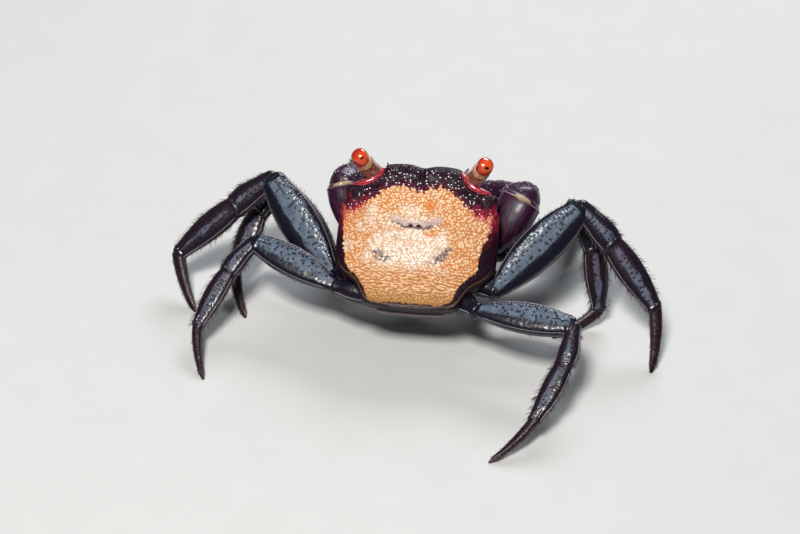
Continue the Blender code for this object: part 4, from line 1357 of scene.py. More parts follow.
leg_material = horn_finish("leg_blue_finish", BLUE_GREY_AND_SHEEN, SLATE_AND_SHEEN, INDIGO, KEEL_PALE, 0.3, 0.12, 0.3)
foot_material = horn_finish(
    "foot_brown_finish", FOOT_ZONE, FOOT_ZONE_DARK, FOOT_HORN, FOOT_KEEL, 0.04, 0.3, 0.2,
)
print("leg finishes:", leg_material.name, foot_material.name)

# %% [markdown]
# ## The leg pieces
# The tables hold the sections of the five pieces: share of the length, half
# width in the leg's plane, half depth across it. The merus is a long flat
# oval, the propodus a narrower blade, and the dactylus a slender claw that
# bends down to its point.

# %% Leg tables
LEG_STOUTNESS = {"first": 0.82, "second": 0.88, "third": 1.0, "fourth": 0.76}
BASE_STOUTNESS = {"first": 0.82, "second": 0.88, "third": 1.0, "fourth": 1.0}
LEG_TABLES = {
    "base": [(0.0, 1.35, 1.3), (0.3, 1.5, 1.4), (0.6, 1.4, 1.3), (0.85, 1.1, 1.05), (1.0, 1.1, 1.0)],
    "merus": [
        (0.0, 0.95, 0.85), (0.12, 1.55, 1.05), (0.32, 2.3, 1.25), (0.58, 2.6, 1.3),
        (0.8, 2.25, 1.2), (0.94, 1.75, 1.1), (1.0, 1.6, 1.05),
    ],
    "carpus": [(0.0, 1.35, 1.0), (0.3, 1.4, 1.05), (0.7, 1.7, 1.1), (1.0, 1.55, 1.0)],
    "propodus": [
        (0.0, 1.45, 0.95), (0.3, 1.75, 0.95), (0.6, 1.6, 0.85), (0.9, 1.1, 0.75), (1.0, 0.95, 0.7),
    ],
    "dactylus": [
        (0.0, 0.85, 0.66), (0.3, 0.78, 0.58), (0.65, 0.56, 0.44), (0.9, 0.38, 0.32), (0.97, 0.24, 0.22),
    ],
}
# For each piece: bow, power, rows, columns, keel rise, brown share, zone strength and limits (the blue zone
# with its painted reflection)
PIECE_LOOKS = {
    "base": (0.0, 2.2, 40, 48, 0.03, 0.2, 0.0, (0.6, -0.4)),
    "merus": (0.12, 3.0, 150, 96, 0.09, 0.0, 1.0, (0.78, -0.25)),
    "carpus": (0.2, 2.5, 90, 72, 0.09, 0.45, 0.6, (0.5, -0.45)),
    "propodus": (0.1, 2.6, 110, 72, 0.09, 0.6, 0.7, (0.4, -0.5)),
    "dactylus": (0.3, 2.3, 80, 48, 0.03, 1.0, 0.3, (0.6, -0.4)),
}
# How much more or less plainly the blue zone and its painted reflection show on the lower pieces of some legs
LOWER_STRENGTH = {("fourth", "left"): 1.2, ("third", "left"): 0.5, ("first", "left"): 0.6}
RIM_RISE = 0.09

# Bristles: count, rows as turns from the upper keel, shares, length
LEG_BRISTLES = {
    "base": (24, (0.0, 0.8, 5.5), (0.2, 0.95), (0.2, 0.45)),
    "merus": (70, (0.0, 0.05, 2.66, 3.62), (0.25, 1.0), (0.25, 0.5)),
    "carpus": (110, (0.0, 0.3, 5.98, 3.14), (0.05, 1.0), (0.3, 0.75)),
    "propodus": (230, (0.0, 0.35, 5.93, 2.7, 3.14, 3.6), (0.03, 1.0), (0.35, 0.9)),
    "dactylus": (260, (0.0, 0.7, 1.6, 2.6, 3.7, 4.7, 5.6), (0.03, 0.9), (0.15, 0.4)),
}
print("leg sections:", {piece: len(rows) for piece, rows in LEG_TABLES.items()})

# %% [markdown]
# ## Building the legs
# One loop makes all forty pieces. The three middle pieces end in a raised
# rim that holds the rounded knuckle of the next piece, so no gap shows at a
# joint. Because the left legs are mirror images, the sign called dorsal says
# on which side of the section the upper keels lie.

# %% Leg pieces
FLOOR_CLEARANCE = 0.02


def leg_piece(pair, side, piece, start, end, normal, layer):
    """Grid of one leg piece, and its closed shape with relief and marks."""
    dorsal = -SIDES[side]
    bow, power, rows, cols, keel_rise, brown, strength, limits = PIECE_LOOKS[piece]
    stout = (BASE_STOUTNESS if piece == "base" else LEG_STOUTNESS)[pair]
    table = [(share, half_x * stout, half_z * stout) for share, half_x, half_z in LEG_TABLES[piece]]
    domes = (0.8, 1.2) if piece == "dactylus" else (0.8, 0.45)
    grid = limb_grid(start, end, normal, table, rows, cols, bow * dorsal, power, domes)
    if piece in ("carpus", "propodus"):
        strength = strength * LOWER_STRENGTH.get((pair, side), 1.0)
    stripes = 0.8 if (pair, side, piece) == ("fourth", "left", "propodus") else 0.0
    relief, marks = leg_relief(grid, dorsal, layer, power, strength, limits, stripes, keel_rise)
    if piece in ("merus", "carpus", "propodus"):
        relief = relief + RIM_RISE * hill(grid["share"] - 0.965, 0.02)
    blotch = soft_noise(grid["along"], grid["around"], 1.8, layer)
    shape = limb_shape(grid, relief, marks, layer, np.clip(brown * (0.5 + blotch), 0, 1))
    shape["points"][:, 2] = np.maximum(shape["points"][:, 2], FLOOR_CLEARANCE * (piece == "dactylus"))
    return grid, shape


leg_hairs = []
chance = np.random.default_rng(5)
for number, ((pair, side), (joints, normal)) in enumerate(LEGS.items()):
    for index, piece in enumerate(PIECES):
        node = f"leg_{pair}_{side}_{piece}"
        layer = number * 5 + index
        grid, shape = leg_piece(pair, side, piece, joints[index], joints[index + 1], normal, layer)
        is_foot = piece == "dactylus"
        material = foot_material if is_foot else leg_material
        add_piece(f"{node}_shell", shape, material, "foot_brown" if is_foot else "leg_blue", node)
        count, turns, shares, length = LEG_BRISTLES[piece]
        turns = np.array(turns) if side == "left" else math.pi - np.array(turns)
        leg_hairs.append(grid_bristles(grid, chance, count, turns, shares, length))
print("leg pieces:", len(LEGS) * len(PIECES))

# %% [markdown]
# ## Claws
# The arms are smooth and wine-coloured, wider towards the wrist. The wrist,
# the hand and the finger carry beads on their upper faces, some dark and
# some pale. The hand ends in a fixed finger with a movable one beside it,
# both toothed on the edges that meet.

# %% Claw finishes and tables
WINE = (0.020, 0.002, 0.011)
CLAW_PURPLE = (0.036, 0.004, 0.034)
CLAW_LINE = (0.10, 0.02, 0.07)
CLAW_RIM = (0.22, 0.12, 0.18)
SPECK_PINK = (0.62, 0.50, 0.60)
SPECK_SHARE = 0.45
CLAW_WIDTH = {"right": 1.04, "left": 0.8}
ARM_TABLE = [
    (0.0, 1.15, 1.1), (0.25, 1.9, 1.7), (0.6, 2.5, 2.1), (0.88, 2.55, 2.15), (0.96, 2.5, 2.15),
    (1.0, 2.35, 2.05),
]
WRIST_TABLE = [(0.0, 2.2, 1.9), (0.45, 2.45, 2.15), (1.0, 1.9, 1.75)]
CLAW_BASE_TABLE = [(0.0, 1.35, 1.3), (0.4, 1.05, 1.05), (1.0, 1.1, 1.05)]


def claw_finish():
    """Wine to purple horn with fine lengthwise lines and a soft gloss."""
    mix = Finish("claw_purple_finish", Coat_Weight=0.25, Coat_Roughness=0.22, Specular_IOR_Level=0.35)
    rim = mix.marks()[0]
    lines = mix.noise(0.30, 3.0, mix.lie((0.10, 1.0, 1.0)))
    clouds = mix.noise(1.8, 3.0)
    colour = mix.over(WINE, CLAW_PURPLE, clouds, (0.36, 0.0), (0.66, 1.0))
    colour = mix.over(colour, CLAW_LINE, lines, (0.54, 0.0), (0.70, 0.35))
    colour = mix.over(colour, CLAW_RIM, rim, (0.3, 0.0), (0.9, 0.7))
    grain = mix.noise(0.1, 3.0)
    normal = mix.relief(grain, 0.015, mix.relief(lines, 0.05))
    return mix.give(Base_Color=colour, Roughness=mix.ramp(grain, (0.3, 0.30), (0.7, 0.48)), Normal=normal)


claw_material = claw_finish()
print("claw finish:", claw_material.name)

# %% [markdown]
# ## Arm, wrist and hand
# The first three pieces are limbs like those of the legs. The hand is a
# limb whose middle line shifts: the palm lies on the axis, and past its
# middle the section narrows and moves aside to become the fixed finger.

# %% Claw pieces
PALM_SHARE = 0.56
TOOTH_PITCH = 0.62
TOOTH_HEIGHT = 0.2
FINGER_END_ROWS = 8
FINGER_POWER = 2 / 0.85


def claw_joints(side):
    """Hip, elbow, wrist, hand joint and the tip of one claw."""
    nodes = [f"claw_{side}_{piece}" for piece in ("base", "arm", "wrist", "hand")]
    inner = [joint(first, second) for first, second in zip(nodes, nodes[1:])]
    return [far_point(nodes[0], inner[0]), *inner, far_point(nodes[-1], inner[-1])]


def finger_grid(start, tip, table, rows, cols, inner):
    """Rings of a palm or finger; table rows are along, aside, half sizes.

    Teeth stand on the side called inner: their height is a cut-off wave of
    the place along, as strong as the point faces the other finger.
    """
    axes = limb_axes(start, tip, FORWARD)
    table = np.array(table)
    places = np.linspace(table[0, 0], table[-1, 0], rows)
    values = smooth_table(places, table)
    lean = np.linspace(1.45, 0.0, FINGER_END_ROWS, endpoint=False)
    sizes, reach = domed(values[:, 1:], places, lean, (values[0, 2] * 0.6, values[-1, 2]))
    aside = np.pad(values[:, :1], ((FINGER_END_ROWS, FINGER_END_ROWS), (0, 0)), mode="edge")
    turn = once_round(cols, 0.5)
    x, z = superellipse(turn, FINGER_POWER)
    x, z = x * sizes[:, :1] + aside, z * sizes[:, 1:]
    wave = np.clip(np.sin(reach * 2 * math.pi / TOOTH_PITCH), 0, 1)[:, None]
    share = (reach - reach[0]) / (reach[-1] - reach[0])
    return {
        "rings": section_rings(start, axes, reach, x, z), "axes": axes, "share": share[:, None] + 0 * x,
        "along": reach[:, None] + 0 * x, "around": turn * sizes[:, 0].mean() + 0 * x,
        "teeth": np.clip(np.cos(turn) * inner, 0, 1) ** 6 * wave,
    }


def hand_tables(length, outer):
    """Tables of the palm with its fixed finger, and of the movable finger."""
    palm = PALM_SHARE * length
    hand = [
        (-0.10 * length, 0.0, 0.9, 0.8), (0.0, 0.0, 1.7, 1.4), (0.18 * length, 0.0, 2.45, 1.9),
        (0.38 * length, 0.0, 2.75, 2.0), (palm - 0.35, 0.1, 2.55, 1.75), (palm + 0.15, 1.1, 1.5, 1.3),
        (0.72 * length, 1.3, 1.05, 0.9), (0.88 * length, 0.95, 0.75, 0.6), (0.985 * length, 0.45, 0.34, 0.3),
    ]
    finger = [
        (palm - 0.25, -1.2, 0.8, 0.75), (palm + 0.5, -1.5, 1.1, 1.0), (0.74 * length, -1.75, 1.0, 0.85),
        (0.88 * length, -1.35, 0.7, 0.6), (0.985 * length, -0.6, 0.32, 0.3),
    ]
    return [[(row[0], row[1] * outer, row[2], row[3]) for row in table] for table in (hand, finger)]


def scattered_beads(grid, count, size, chance):
    """Beads on the upper side of a limb grid, at chance places."""
    rings, normals = grid["rings"], grid_normals(grid["rings"])
    row = chance.integers(2, rings.shape[0] - 2, count)
    column = chance.integers(0, rings.shape[1], count)
    keep = (normals[row, column] @ CLAW_UP > 0.25) & (chance.random(count) < 0.8)
    row, column = row[keep], column[keep]
    outward = normals[row, column]
    across = unit(np.cross(outward, grid["axes"][0]))
    sizes = (size * (0.6 + 0.7 * chance.random(len(row))))[:, None] * (1.0, 1.0, 0.75)
    speck = (chance.random(len(row)) < SPECK_SHARE)[:, None]
    colours = np.where(speck, SPECK_PINK, CLAW_PURPLE)
    return bead_field(rings[row, column], across, np.cross(across, outward), outward, sizes, colours)


# %% [markdown]
# ## Both claws
# Two claws from one function. The pale cushion in the crook of each arm is
# the soft skin between arm and wrist, which bulges where the joint is bent.

# %% Make the claws
CUSHION_SIZE = (1.2, 0.44, 0.45)
CLAW_UP = np.array((0, -0.2, 0.98))
# For each beaded piece: how many places are tried, and the size of a bead
CLAW_BEADS = {"wrist": (500, 0.11), "hand": (900, 0.10), "finger": (160, 0.08)}


def soft_cushion(place, across, along, outward, size, rows=24, cols=32):
    """Skin bulging from a joint: a flattened ball with a few folds."""
    lean = np.linspace(-1.5, 1.5, rows)[:, None]
    turn = once_round(cols)
    x = np.cos(lean) * np.cos(turn) * size[0]
    y = np.sin(lean) * size[1] * (1 + 0.05 * np.sin(9 * x / size[0]))
    z = np.cos(lean) * np.sin(turn) * size[2]
    return skin(place + x[..., None] * across + y[..., None] * along + z[..., None] * outward)


def plain_relief(grid, layer, rise=0.03):
    """Gentle unevenness of smooth horn."""
    return rise * (soft_noise(grid["along"], grid["around"], 0.8, layer) - 0.5)


def claw_grids(side):
    """Grids of the five pieces of one claw."""
    sign, width = SIDES[side], CLAW_WIDTH[side]
    hip, elbow, wrist, hand, tip = claw_joints(side)
    face = OUTWARD + FORWARD * 0.3
    arm, cuff = ([(t, a * width, b) for t, a, b in table] for table in (ARM_TABLE, WRIST_TABLE))
    palm_table, finger_table = hand_tables(np.linalg.norm(tip - hand), sign)
    return {
        "base": limb_grid(hip, elbow, face, CLAW_BASE_TABLE, 40, 48),
        "arm": limb_grid(elbow, wrist, face, arm, 110, 96, domes=(0.8, 0.35)),
        "wrist": limb_grid(wrist, hand, face, cuff, 70, 96, domes=(0.7, 0.7)),
        "hand": finger_grid(hand, tip, palm_table, 150, 96, -sign),
        "finger": finger_grid(hand, tip, finger_table, 90, 64, sign),
    }


def claw_relief(piece, grid, layer):
    """Relief of a claw piece: soft unevenness, the arm's rim, the fingers' teeth."""
    relief = plain_relief(grid, layer)
    rim = hill(grid["share"] - 0.97, 0.02) if piece == "arm" else 0 * relief
    relief = relief + RIM_RISE * rim
    if "teeth" in grid:
        start = smooth_step(grid["along"], *np.quantile(grid["along"], (0.5, 0.62)))
        if piece == "finger":
            start = smooth_step(grid["share"], 0.2, 0.35)
        bite = grid["teeth"] * start * (1 - smooth_step(grid["share"], 0.9, 0.97))
        relief = relief + TOOTH_HEIGHT * bite
    return relief, rim


def make_claw(side, layer):
    """The pieces and beads of one claw; gives back the cushion at its wrist."""
    grids = claw_grids(side)
    for piece, grid in grids.items():
        relief, rim = claw_relief(piece, grid, layer)
        name = f"claw_{side}_{piece}"
        shape = limb_shape(grid, relief, (rim,), layer)
        add_piece(f"{name}_shell", shape, claw_material, "claw_purple", name)
    chance = np.random.default_rng(40 + layer)
    beads = [scattered_beads(grids[piece], *look, chance) for piece, look in CLAW_BEADS.items()]
    add_piece(f"claw_{side}_beads", joined(beads), dark_bead_material, "claw_purple")
    _, elbow, wrist, _, _ = claw_joints(side)
    axis = unit(wrist - elbow)
    back = unit(to_camera - axis * (to_camera @ axis))
    place = wrist + back * 1.95 * (0.5 + 0.5 * CLAW_WIDTH[side]) - axis * 0.05
    return soft_cushion(place, unit(np.cross(back, axis)), axis, back, CUSHION_SIZE)


cushions = [make_claw(side, 60 + number) for number, side in enumerate(SIDES)]
print("claws made:", len(cushions))

# %% [markdown]
# ## Soft skin and orbit rims
# Soft skin is yellowish and lets light in, so its finish has some
# subsurface light. The rims of the eye bays are the brightest part of the
# front: a swollen, wet, crimson lip on each side.

# %% Cushions and orbit rims
ORBIT_LINE = np.array([
    (4.55, 9.15, -0.84), (5.05, 8.55, -0.76), (5.55, 7.8, -0.72), (6.3, 7.15, -0.72),
    (7.2, 6.75, -0.82), (8.1, 6.6, -0.98), (8.7, 6.5, -1.12),
])
ORBIT_RIM_RADIUS = 0.5
SKIN_BROWN = (0.26, 0.17, 0.09)
SKIN_PALE = (0.50, 0.38, 0.22)
LIP_DARK = (0.10, 0.004, 0.02)
LIP_RED = (0.55, 0.03, 0.05)


def skin_finish():
    """Yellowish joint skin with fine folds."""
    mix = Finish("soft_skin_finish", Subsurface_Weight=0.25, Subsurface_Scale=0.0006, Coat_Weight=0.3)
    folds = mix.noise(0.14, 2.0)
    colour = mix.ramp(folds, (0.3, SKIN_BROWN), (0.7, SKIN_PALE))
    return mix.give(Base_Color=colour, Normal=mix.relief(folds, 0.03))


def rim_finish():
    """Wet crimson lip, darker in its folds."""
    mix = Finish("orbit_rim_finish", Coat_Weight=1.0, Coat_Roughness=0.06, Roughness=0.3)
    folds = mix.noise(0.3, 3.0)
    colour = mix.ramp(folds, (0.32, LIP_DARK), (0.62, LIP_RED))
    return mix.give(Base_Color=colour, Normal=mix.relief(folds, 0.03))


def tube_along(line, radius, rows, cols, taper):
    """Tube along a smooth line, r = radius * sin(pi t)^taper, closed at its ends."""
    t = np.linspace(0.0, 1.0, rows)
    centres = smooth_table(t, np.column_stack((np.linspace(0.0, 1.0, len(line)), line)))
    along = unit(np.gradient(centres, axis=0))
    side = unit(np.cross(along, OUTWARD))
    width = radius * np.clip(np.sin(math.pi * np.clip(t, 0.004, 0.996)), 0, 1) ** taper
    ring = circle(once_round(cols), side, np.cross(side, along))
    return skin(centres[:, None] + ring * width[:, None, None])


add_piece("claw_joint_skin", joined(cushions), skin_finish(), "feeler_brown")
rims = [
    tube_along(from_body(ORBIT_LINE * (sign, 1, 1)), ORBIT_RIM_RADIUS, 60, 20, 0.5)
    for sign in SIDES.values()
]
add_piece("orbit_rims", joined(rims), rim_finish(), "stalk_amber")
print("orbit rims:", len(rims))

# %% [markdown]
# ## Eyes
# The eye is a glossy ball on the end of a stalk as thick as itself. The
# stalk is horn that lets light through, brown with a yellow ring where it
# holds the ball and painted light in cream along its upper side. On the ball
# a small dark spot lies in an orange field that deepens to red towards its
# edge: painted shade away from the side that faces the camera.

# %% Eye finishes
PUPIL_TURN = (0.22, -0.16)
EYE_RED = (0.72, 0.050, 0.004)
EYE_ORANGE = (0.86, 0.13, 0.008)
EYE_EDGE_SHADE = (0.36, 0.008, 0.004)
PUPIL = (0.020, 0.002, 0.002)
EYE_COLLAR = (0.62, 0.28, 0.03)
STALK_DARK = (0.20, 0.045, 0.036)
STALK_LIGHT = (0.50, 0.22, 0.15)
# Painted light: cream on the stalk's upper side.
STALK_LIT_CREAM = (0.85, 0.55, 0.36)
STALK_RING = (0.66, 0.40, 0.09)


def eye_finish():
    """Orange within, red deepening to the edge as painted shade, a dark spot, a wet coat."""
    mix = Finish("eye_red_finish", Coat_Weight=1.0, Coat_Roughness=0.02, Roughness=0.2)
    facing, _, _, share = mix.marks()
    warm = mix.over(EYE_RED, EYE_ORANGE, mix.noise(0.5, 3.0), (0.4, 0.0), (0.65, 0.7))
    # Painted light and shade: orange where the ball faces the camera, deepening to dark red towards its edge.
    colour = mix.over(EYE_EDGE_SHADE, warm, facing, (0.4, 0.0), (0.93, 1.0))
    colour = mix.over(colour, PUPIL, facing, (0.958, 0.0), (0.978, 1.0))
    colour = mix.over(colour, EYE_COLLAR, share, (0.0, 0.9), (0.06, 0.0))
    return mix.give(Base_Color=colour, Normal=mix.relief(mix.cells(0.045), 0.004))


def stalk_finish():
    """Pinkish brown translucent horn, with painted light in cream on its upper edge."""
    mix = Finish(
        "stalk_amber_finish", Subsurface_Weight=0.3, Subsurface_Scale=0.0008, Coat_Weight=0.7,
        Coat_Roughness=0.12, Roughness=0.32,
    )
    lit, _, _, share = mix.marks()
    clouds = mix.noise(0.5, 4.0)
    colour = mix.ramp(clouds, (0.34, STALK_DARK), (0.66, STALK_LIGHT))
    colour = mix.over(colour, STALK_LIT_CREAM, lit, (0.45, 0.0), (0.85, 0.8))
    colour = mix.over(colour, STALK_RING, share, (0.93, 0.0), (0.96, 0.6), (0.99, 0.0))
    return mix.give(Base_Color=colour, Normal=mix.relief(clouds, 0.03))


eye_material = eye_finish()
stalk_material = stalk_finish()
print("eye finishes:", eye_material.name, stalk_material.name)

# %% [markdown]
# ## Stalk and ball
# The tables of stalk and ball follow the frame's. The mark for the ball's
# colour is the cosine between each normal and the way the dark spot faces,
# which is up and back, towards the camera. It places the spot and paints
# light and shade on the ball: orange where it faces that way, deep red at
# its edge.

# %% Eyes and stalks
# Share of the length and radius
STALK_RADII = ((0.0, 1.12), (0.35, 1.22), (0.7, 1.1), (0.9, 1.14), (1.0, 1.04))
BALL_RADII = ((0.0, 0.92), (0.22, 1.05), (0.495, 1.08), (0.682, 1.03))
BALL_LENGTH = 1.02


def round_table(radii):
    """Limb table of a round section."""
    return [(share, radius, radius) for share, radius in radii]


def make_eye(side):
    """Stalk and ball of one eye; gives back the crown of the ball."""
    stalk, ball = f"eyestalk_{side}", f"eye_{side}"
    neck = joint(stalk, ball)
    root, crown = far_point(stalk, neck), far_point(ball, neck)
    root = root + unit(neck - root) * 0.8
    grid = limb_grid(root, neck, OUTWARD, round_table(STALK_RADII), 80, 64, power=2.0, domes=(0.8, 0.3))
    relief = plain_relief(grid, 70, 0.06) + 0.05 * hill(grid["share"] - 0.95, 0.05)
    # Painted light: the mark for cream is how much each point faces forward and out of the back.
    lit = np.clip(grid_normals(grid["rings"]) @ unit(FORWARD * 0.5 + OUTWARD), 0, 1)
    add_piece(f"{stalk}_shell", limb_shape(grid, relief, (lit,), 70), stalk_material, "stalk_amber", stalk)
    end = neck + (crown - neck) / BALL_LENGTH
    grid = limb_grid(neck, end, OUTWARD, round_table(BALL_RADII), 60, 64, power=2.0, domes=(0.4, 0.62))
    spot = unit(to_camera + camera_right * PUPIL_TURN[0] + camera_up * PUPIL_TURN[1])
    # This mark places the dark spot and the ball's painted light and shade.
    facing = np.clip(grid_normals(grid["rings"]) @ spot, 0, 1)
    add_piece(f"{ball}_shell", limb_shape(grid, 0 * facing, (facing,), 71), eye_material, "eye_red", ball)
    return crown


crowns = {side: make_eye(side) for side in SIDES}
print("eye balls reach to", {side: np.round(crown, 1).tolist() for side, crown in crowns.items()})

# %% [markdown]
# ## Under the shell
# The breast is a row of plates parted by grooves, the abdomen a narrow plate
# of seven segments folded under it. Both are rings again. They are hardly
# seen from above, but they show from below and from the sides.

# %% Breast
# Breast rings from the front: backward, half width, half depth, height
BREAST_TABLE = np.array([
    (-8.5, 2.4, 1.4, -6.4), (-7.9, 4.6, 2.4, -6.5), (-5.8, 6.4, 3.1, -6.8), (-3.0, 7.3, 3.6, -7.0),
    (0.0, 7.6, 3.7, -7.0), (3.0, 7.2, 3.3, -6.6), (5.6, 6.1, 2.7, -5.9), (7.6, 4.9, 1.9, -5.2),
    (8.4, 3.6, 1.2, -4.9),
])
BREAST_GROOVES = (4.6, 2.3, -0.2, -2.8, -5.0)
PLATE_DARK = (0.016, 0.006, 0.014)
PLATE_LIGHT = (0.070, 0.026, 0.050)
PLATE_SEAM = (0.006, 0.003, 0.005)


def breast_shape(rows=150, cols=128):
    """Superellipse rings along the body, drawn in at each groove."""
    back = np.linspace(BREAST_TABLE[0, 0], BREAST_TABLE[-1, 0], rows)
    half_x, half_z, height = smooth_table(back, BREAST_TABLE).T[:, :, None]
    turn = once_round(cols)
    x, z = superellipse(turn, 2.6)
    inset = sum(hill(-back - groove, 0.12) for groove in BREAST_GROOVES)[:, None]
    middle = 0.5 * hill(x, 0.06) * (z < 0)
    rough = soft_noise(back[:, None] * 1.5, turn * 7, 0.6, 12) - 0.5
    shrink = 0.17 * inset + 0.12 * middle - 0.04 * rough
    rings = np.stack((x * (half_x - shrink), -back[:, None] + 0 * x, z * (half_z - shrink) + height), axis=-1)
    return skin(from_body(rings), first_mark(inset + 0 * x), rings)


def dark_shell_finish():
    """Purple-black plates, paler towards their middles, finely grained."""
    mix = Finish("shell_dark_finish", Coat_Weight=0.6, Coat_Roughness=0.2, Coat_IOR=1.5)
    colour = mix.ramp(mix.noise(1.6, 4.0), (0.34, PLATE_DARK), (0.68, PLATE_LIGHT))
    colour = mix.over(colour, PLATE_SEAM, mix.marks()[0], (0.2, 0.0), (0.8, 1.0))
    grain = mix.noise(0.12, 4.0)
    normal = mix.relief(grain, 0.03, mix.relief(mix.cells(0.3), 0.03))
    return mix.give(Base_Color=colour, Roughness=mix.ramp(grain, (0.3, 0.3), (0.7, 0.5)), Normal=normal)


dark_material = dark_shell_finish()
add_piece("breast", breast_shape(), dark_material, "shell_dark", "thorax")
print("breast grooves:", len(BREAST_GROOVES))

# %% [markdown]
# ## Abdomen
# Each segment is slightly swollen and drawn in where it meets the next. The
# path of the plate is a smooth line through the joints of the frame's
# abdomen; its width follows the same table.

# %% Abdomen
# Joints between segments: forward, height, half width
ABDOMEN_JOINTS = np.array([
    (-8.9, -2.8, 4.2), (-8.85, -3.9, 4.05), (-8.2, -5.9, 3.6), (-6.9, -7.8, 3.45),
    (-4.9, -9.4, 3.2), (-2.3, -10.5, 2.5), (0.9, -10.95, 1.6), (3.4, -10.75, 0.7),
])
ABDOMEN_THICKNESS = 0.42


def abdomen_shape(rows=170, cols=72):
    """Flat superellipse rings along the folded path, drawn in at each joint."""
    table = np.column_stack((np.arange(len(ABDOMEN_JOINTS)), ABDOMEN_JOINTS))
    place = np.linspace(0, len(ABDOMEN_JOINTS) - 1, rows)
    forward, height, half = smooth_table(place, table).T
    along = unit(np.stack((0 * place, np.gradient(forward), np.gradient(height)), axis=-1))
    outward = np.cross(np.array([1.0, 0.0, 0.0]), along)
    seam = hill(place - np.round(place), 0.07)
    swell = 0.05 * np.sin(math.pi * (place % 1.0))
    x, z = superellipse(once_round(cols), 3.0)
    close = np.clip(np.minimum(place, place[-1] - place) / 0.12, 0.05, 1) ** 0.5
    across = x * ((half - 0.12 * seam) * close)[:, None]
    depth = z * ((ABDOMEN_THICKNESS - 0.13 * seam + swell - 0.05) * close)[:, None]
    centre = np.stack((0 * place, forward, height), axis=-1)[:, None]
    rings = centre + across[..., None] * np.array([1.0, 0, 0]) + depth[..., None] * outward[:, None]
    return skin(from_body(rings), first_mark(seam[:, None] + 0 * x), rings)


add_piece("abdomen_plates", abdomen_shape(), dark_material, "shell_dark", "abdomen")
print("abdomen segments:", len(ABDOMEN_JOINTS) - 1)

# %% [markdown]
# ## Mouth and feelers
# Two leaf-shaped plates close the mouth, each crossed by a slanting furrow
# and fringed with hair. The feelers are a thick root and a ringed whip.

# %% Mouth plates and feelers
# Mouth plate rings from the top: downward, forward, half width, half depth
MOUTH_TABLE = np.array([
    (5.1, 8.35, 2.9, 0.5), (5.8, 8.7, 3.2, 0.65), (7.2, 8.75, 3.1, 0.7), (8.4, 8.35, 2.5, 0.6),
    (9.0, 7.95, 1.6, 0.45),
])
FEELER_RADII = ((0.0, 0.48), (0.14, 0.46), (0.26, 0.3), (0.6, 0.2), (0.97, 0.1))
FEELER_ROOT = (4.0, 8.8, -3.6)
RING_PITCH = 0.24
RING_HEIGHT = 0.02
FEELER_DARK = (0.055, 0.018, 0.022)
FEELER_BROWN = (0.20, 0.085, 0.07)
FEELER_SEAM = (0.015, 0.006, 0.008)


def horn_brown_finish():
    """Reddish brown horn, lighter on the raised parts."""
    mix = Finish("feeler_brown_finish", Coat_Weight=0.4, Coat_Roughness=0.25, Roughness=0.45)
    colour = mix.ramp(mix.noise(0.7, 4.0), (0.34, FEELER_DARK), (0.66, FEELER_BROWN))
    colour = mix.over(colour, FEELER_SEAM, mix.marks()[0], (0.2, 0.0), (0.7, 1.0))
    return mix.give(Base_Color=colour, Normal=mix.relief(mix.noise(0.1), 0.03))


def mouth_shape(rows=90, cols=128):
    """Plates parted down the middle and crossed by a furrow on each side."""
    down = np.linspace(MOUTH_TABLE[0, 0], MOUTH_TABLE[-1, 0], rows)
    forward, half_x, half_y = smooth_table(down, MOUTH_TABLE).T[:, :, None]
    x, y = superellipse(once_round(cols), 2.6)
    across = x * half_x
    outer = y > 0
    split = hill(across, 0.13) * outer
    furrow = hill(down[:, None] - 6.6 - 0.35 * abs(across), 0.11) * outer
    swell = 0.12 * np.sin(np.clip(abs(across) / 2.6, 0, 1) * math.pi) * outer
    reach = forward + y * half_y - 0.32 * split - 0.16 * furrow + swell - 0.1
    rings = np.stack((across, reach, -down[:, None] + 0 * across), axis=-1)
    return skin(from_body(rings), first_mark(np.maximum(split, furrow)), rings)


def feeler_shape(side):
    """Ringed whip from the brow, relief a wave of the place along it."""
    root = from_body(np.array(FEELER_ROOT) * (SIDES[side], 1, 1))
    tip = far_point(f"antenna_{side}", root)
    grid = limb_grid(root, tip, OUTWARD, round_table(FEELER_RADII), 110, 20, power=2.0)
    wave = np.sin(grid["along"] * 2 * math.pi / RING_PITCH)
    print(f"feeler {side}: length {grid['length']:.2f} mm")
    return limb_shape(grid, RING_HEIGHT * wave, (np.clip(-0.6 * wave, 0, 1),), 80)


brown_material = horn_brown_finish()
add_piece("mouth_plates", mouth_shape(), brown_material, "feeler_brown", "mouthparts")
for side in SIDES:
    add_piece(f"feeler_{side}", feeler_shape(side), brown_material, "feeler_brown", f"antenna_{side}")

# %% [markdown]
# ## All the bristles
# The bristles of the legs were gathered while the legs were made, and a
# fringe is added round the mouth plates. They share one finish, dark at the
# root and tawny at the tip, where light passes through.

# %% Bristle piece
HAIR_ROOT = (0.02, 0.012, 0.02)
HAIR_DARK = (0.05, 0.025, 0.03)
HAIR_TAWNY = (0.42, 0.32, 0.26)


def bristle_finish():
    """Dark root, tawny tip."""
    mix = Finish("bristle_finish", Roughness=0.5, Specular_IOR_Level=0.4)
    tip = mix.over(HAIR_DARK, HAIR_TAWNY, mix.noise(1.2, 2.0), (0.4, 0.0), (0.6, 1.0))
    return mix.give(Base_Color=mix.blend(mix.marks()[3], HAIR_ROOT, tip))


def mouth_fringe(count=90):
    """Hair along the split between the mouth plates and down their outer edges."""
    chance = np.random.default_rng(21)
    down = chance.uniform(5.6, 8.6, count)
    across = chance.choice((-0.35, 0.35, -2.6, 2.6), count) + chance.normal(0, 0.1, count)
    forward = smooth_table(down, MOUTH_TABLE)[:, 0] + 0.35
    roots = from_body(np.stack((across, forward, -down), axis=-1))
    directions = unit(FORWARD * 0.9 - OUTWARD * 0.5 + chance.normal(0, 0.2, (count, 3)))
    return bristle_shape(roots, directions, directions, chance.uniform(0.3, 0.6, count), 0.02)


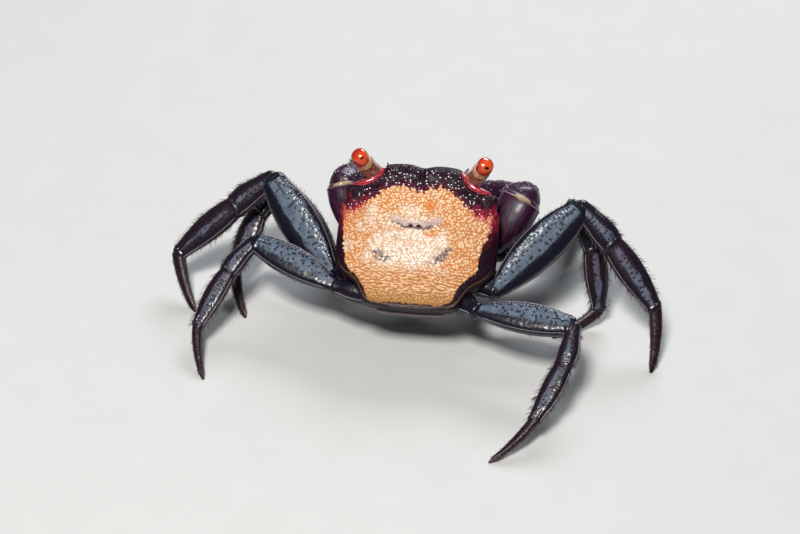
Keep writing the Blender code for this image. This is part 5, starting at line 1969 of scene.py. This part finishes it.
bristles = joined(leg_hairs + [mouth_fringe()])
add_piece("bristles", bristles, bristle_finish(), "foot_brown")
print("bristles:", len(bristles["points"]) // len(BRISTLE_SHARES))

# %% [markdown]
# ## Floor
# A plain pale sheet, as in a studio.

# %% Floor
FLOOR_SIZE = 0.9
FLOOR_GREY = (0.570, 0.570, 0.560)
FLOOR_PALE = (0.585, 0.585, 0.575)


def floor_finish():
    """Pale matt paper with the faintest grain."""
    mix = Finish("floor_finish", Roughness=0.85, Specular_IOR_Level=0.2)
    return mix.give(Base_Color=mix.ramp(mix.noise(6.0, 2.0), (0.3, FLOOR_GREY), (0.7, FLOOR_PALE)))


floor_mesh = bpy.data.meshes.new("floor")
corners = [(x * FLOOR_SIZE, y * FLOOR_SIZE, 0) for x, y in ((-1, -1), (1, -1), (1, 1), (-1, 1))]
floor_mesh.from_pydata(corners, [], [(0, 1, 2, 3)])
floor_mesh.materials.append(floor_finish())
floor = add_object("floor", floor_mesh)
print("floor:", 2 * FLOOR_SIZE, "m wide")

# %% [markdown]
# ## Light
# A small warm lamp hangs high over the animal on the camera's side, where it
# is mirrored in the broad faces of the legs, over the reflection painted
# there. A wider, cooler one beyond the animal lights its far rims, and the
# air around gives a little blue light.

# %% Lamps
LAMP_AIM = (0.0, 0.0, 0.01)
SKY = (0.80, 0.85, 0.90, 1.0)
SKY_STRENGTH = 0.13


def add_lamp(name, place, size, power, tint):
    """Rectangular lamp at a place in metres, turned towards the crab."""
    lamp = bpy.data.lights.new(name, "AREA")
    lamp.shape = "RECTANGLE"
    lamp.size, lamp.size_y = size
    lamp.energy = power
    lamp.color = tint
    made = add_object(name, lamp)
    made.location = place
    made.rotation_euler = (Vector(LAMP_AIM) - Vector(place)).to_track_quat("-Z", "Y").to_euler()


add_lamp("key_lamp", (-0.07, -0.18, 0.40), (0.10, 0.10), 2.0, (1.0, 0.98, 0.95))
add_lamp("rim_lamp", (0.10, 0.30, 0.25), (0.20, 0.12), 1.1, (0.90, 0.95, 1.0))
world = bpy.data.worlds.new("studio")
world.use_nodes = True
background = world.node_tree.nodes["Background"].inputs
background["Color"].default_value = SKY
background["Strength"].default_value = SKY_STRENGTH
bpy.context.scene.world = world
bpy.context.scene.view_settings.view_transform = "Standard"
print("lamps ready")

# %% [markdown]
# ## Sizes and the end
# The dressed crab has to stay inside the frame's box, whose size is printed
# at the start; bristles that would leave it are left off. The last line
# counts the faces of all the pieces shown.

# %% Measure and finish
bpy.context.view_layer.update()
shown = [made for made in bpy.data.objects if made.type == "MESH" and not made.hide_render]
print("faces in all:", sum(len(made.data.polygons) for made in shown))
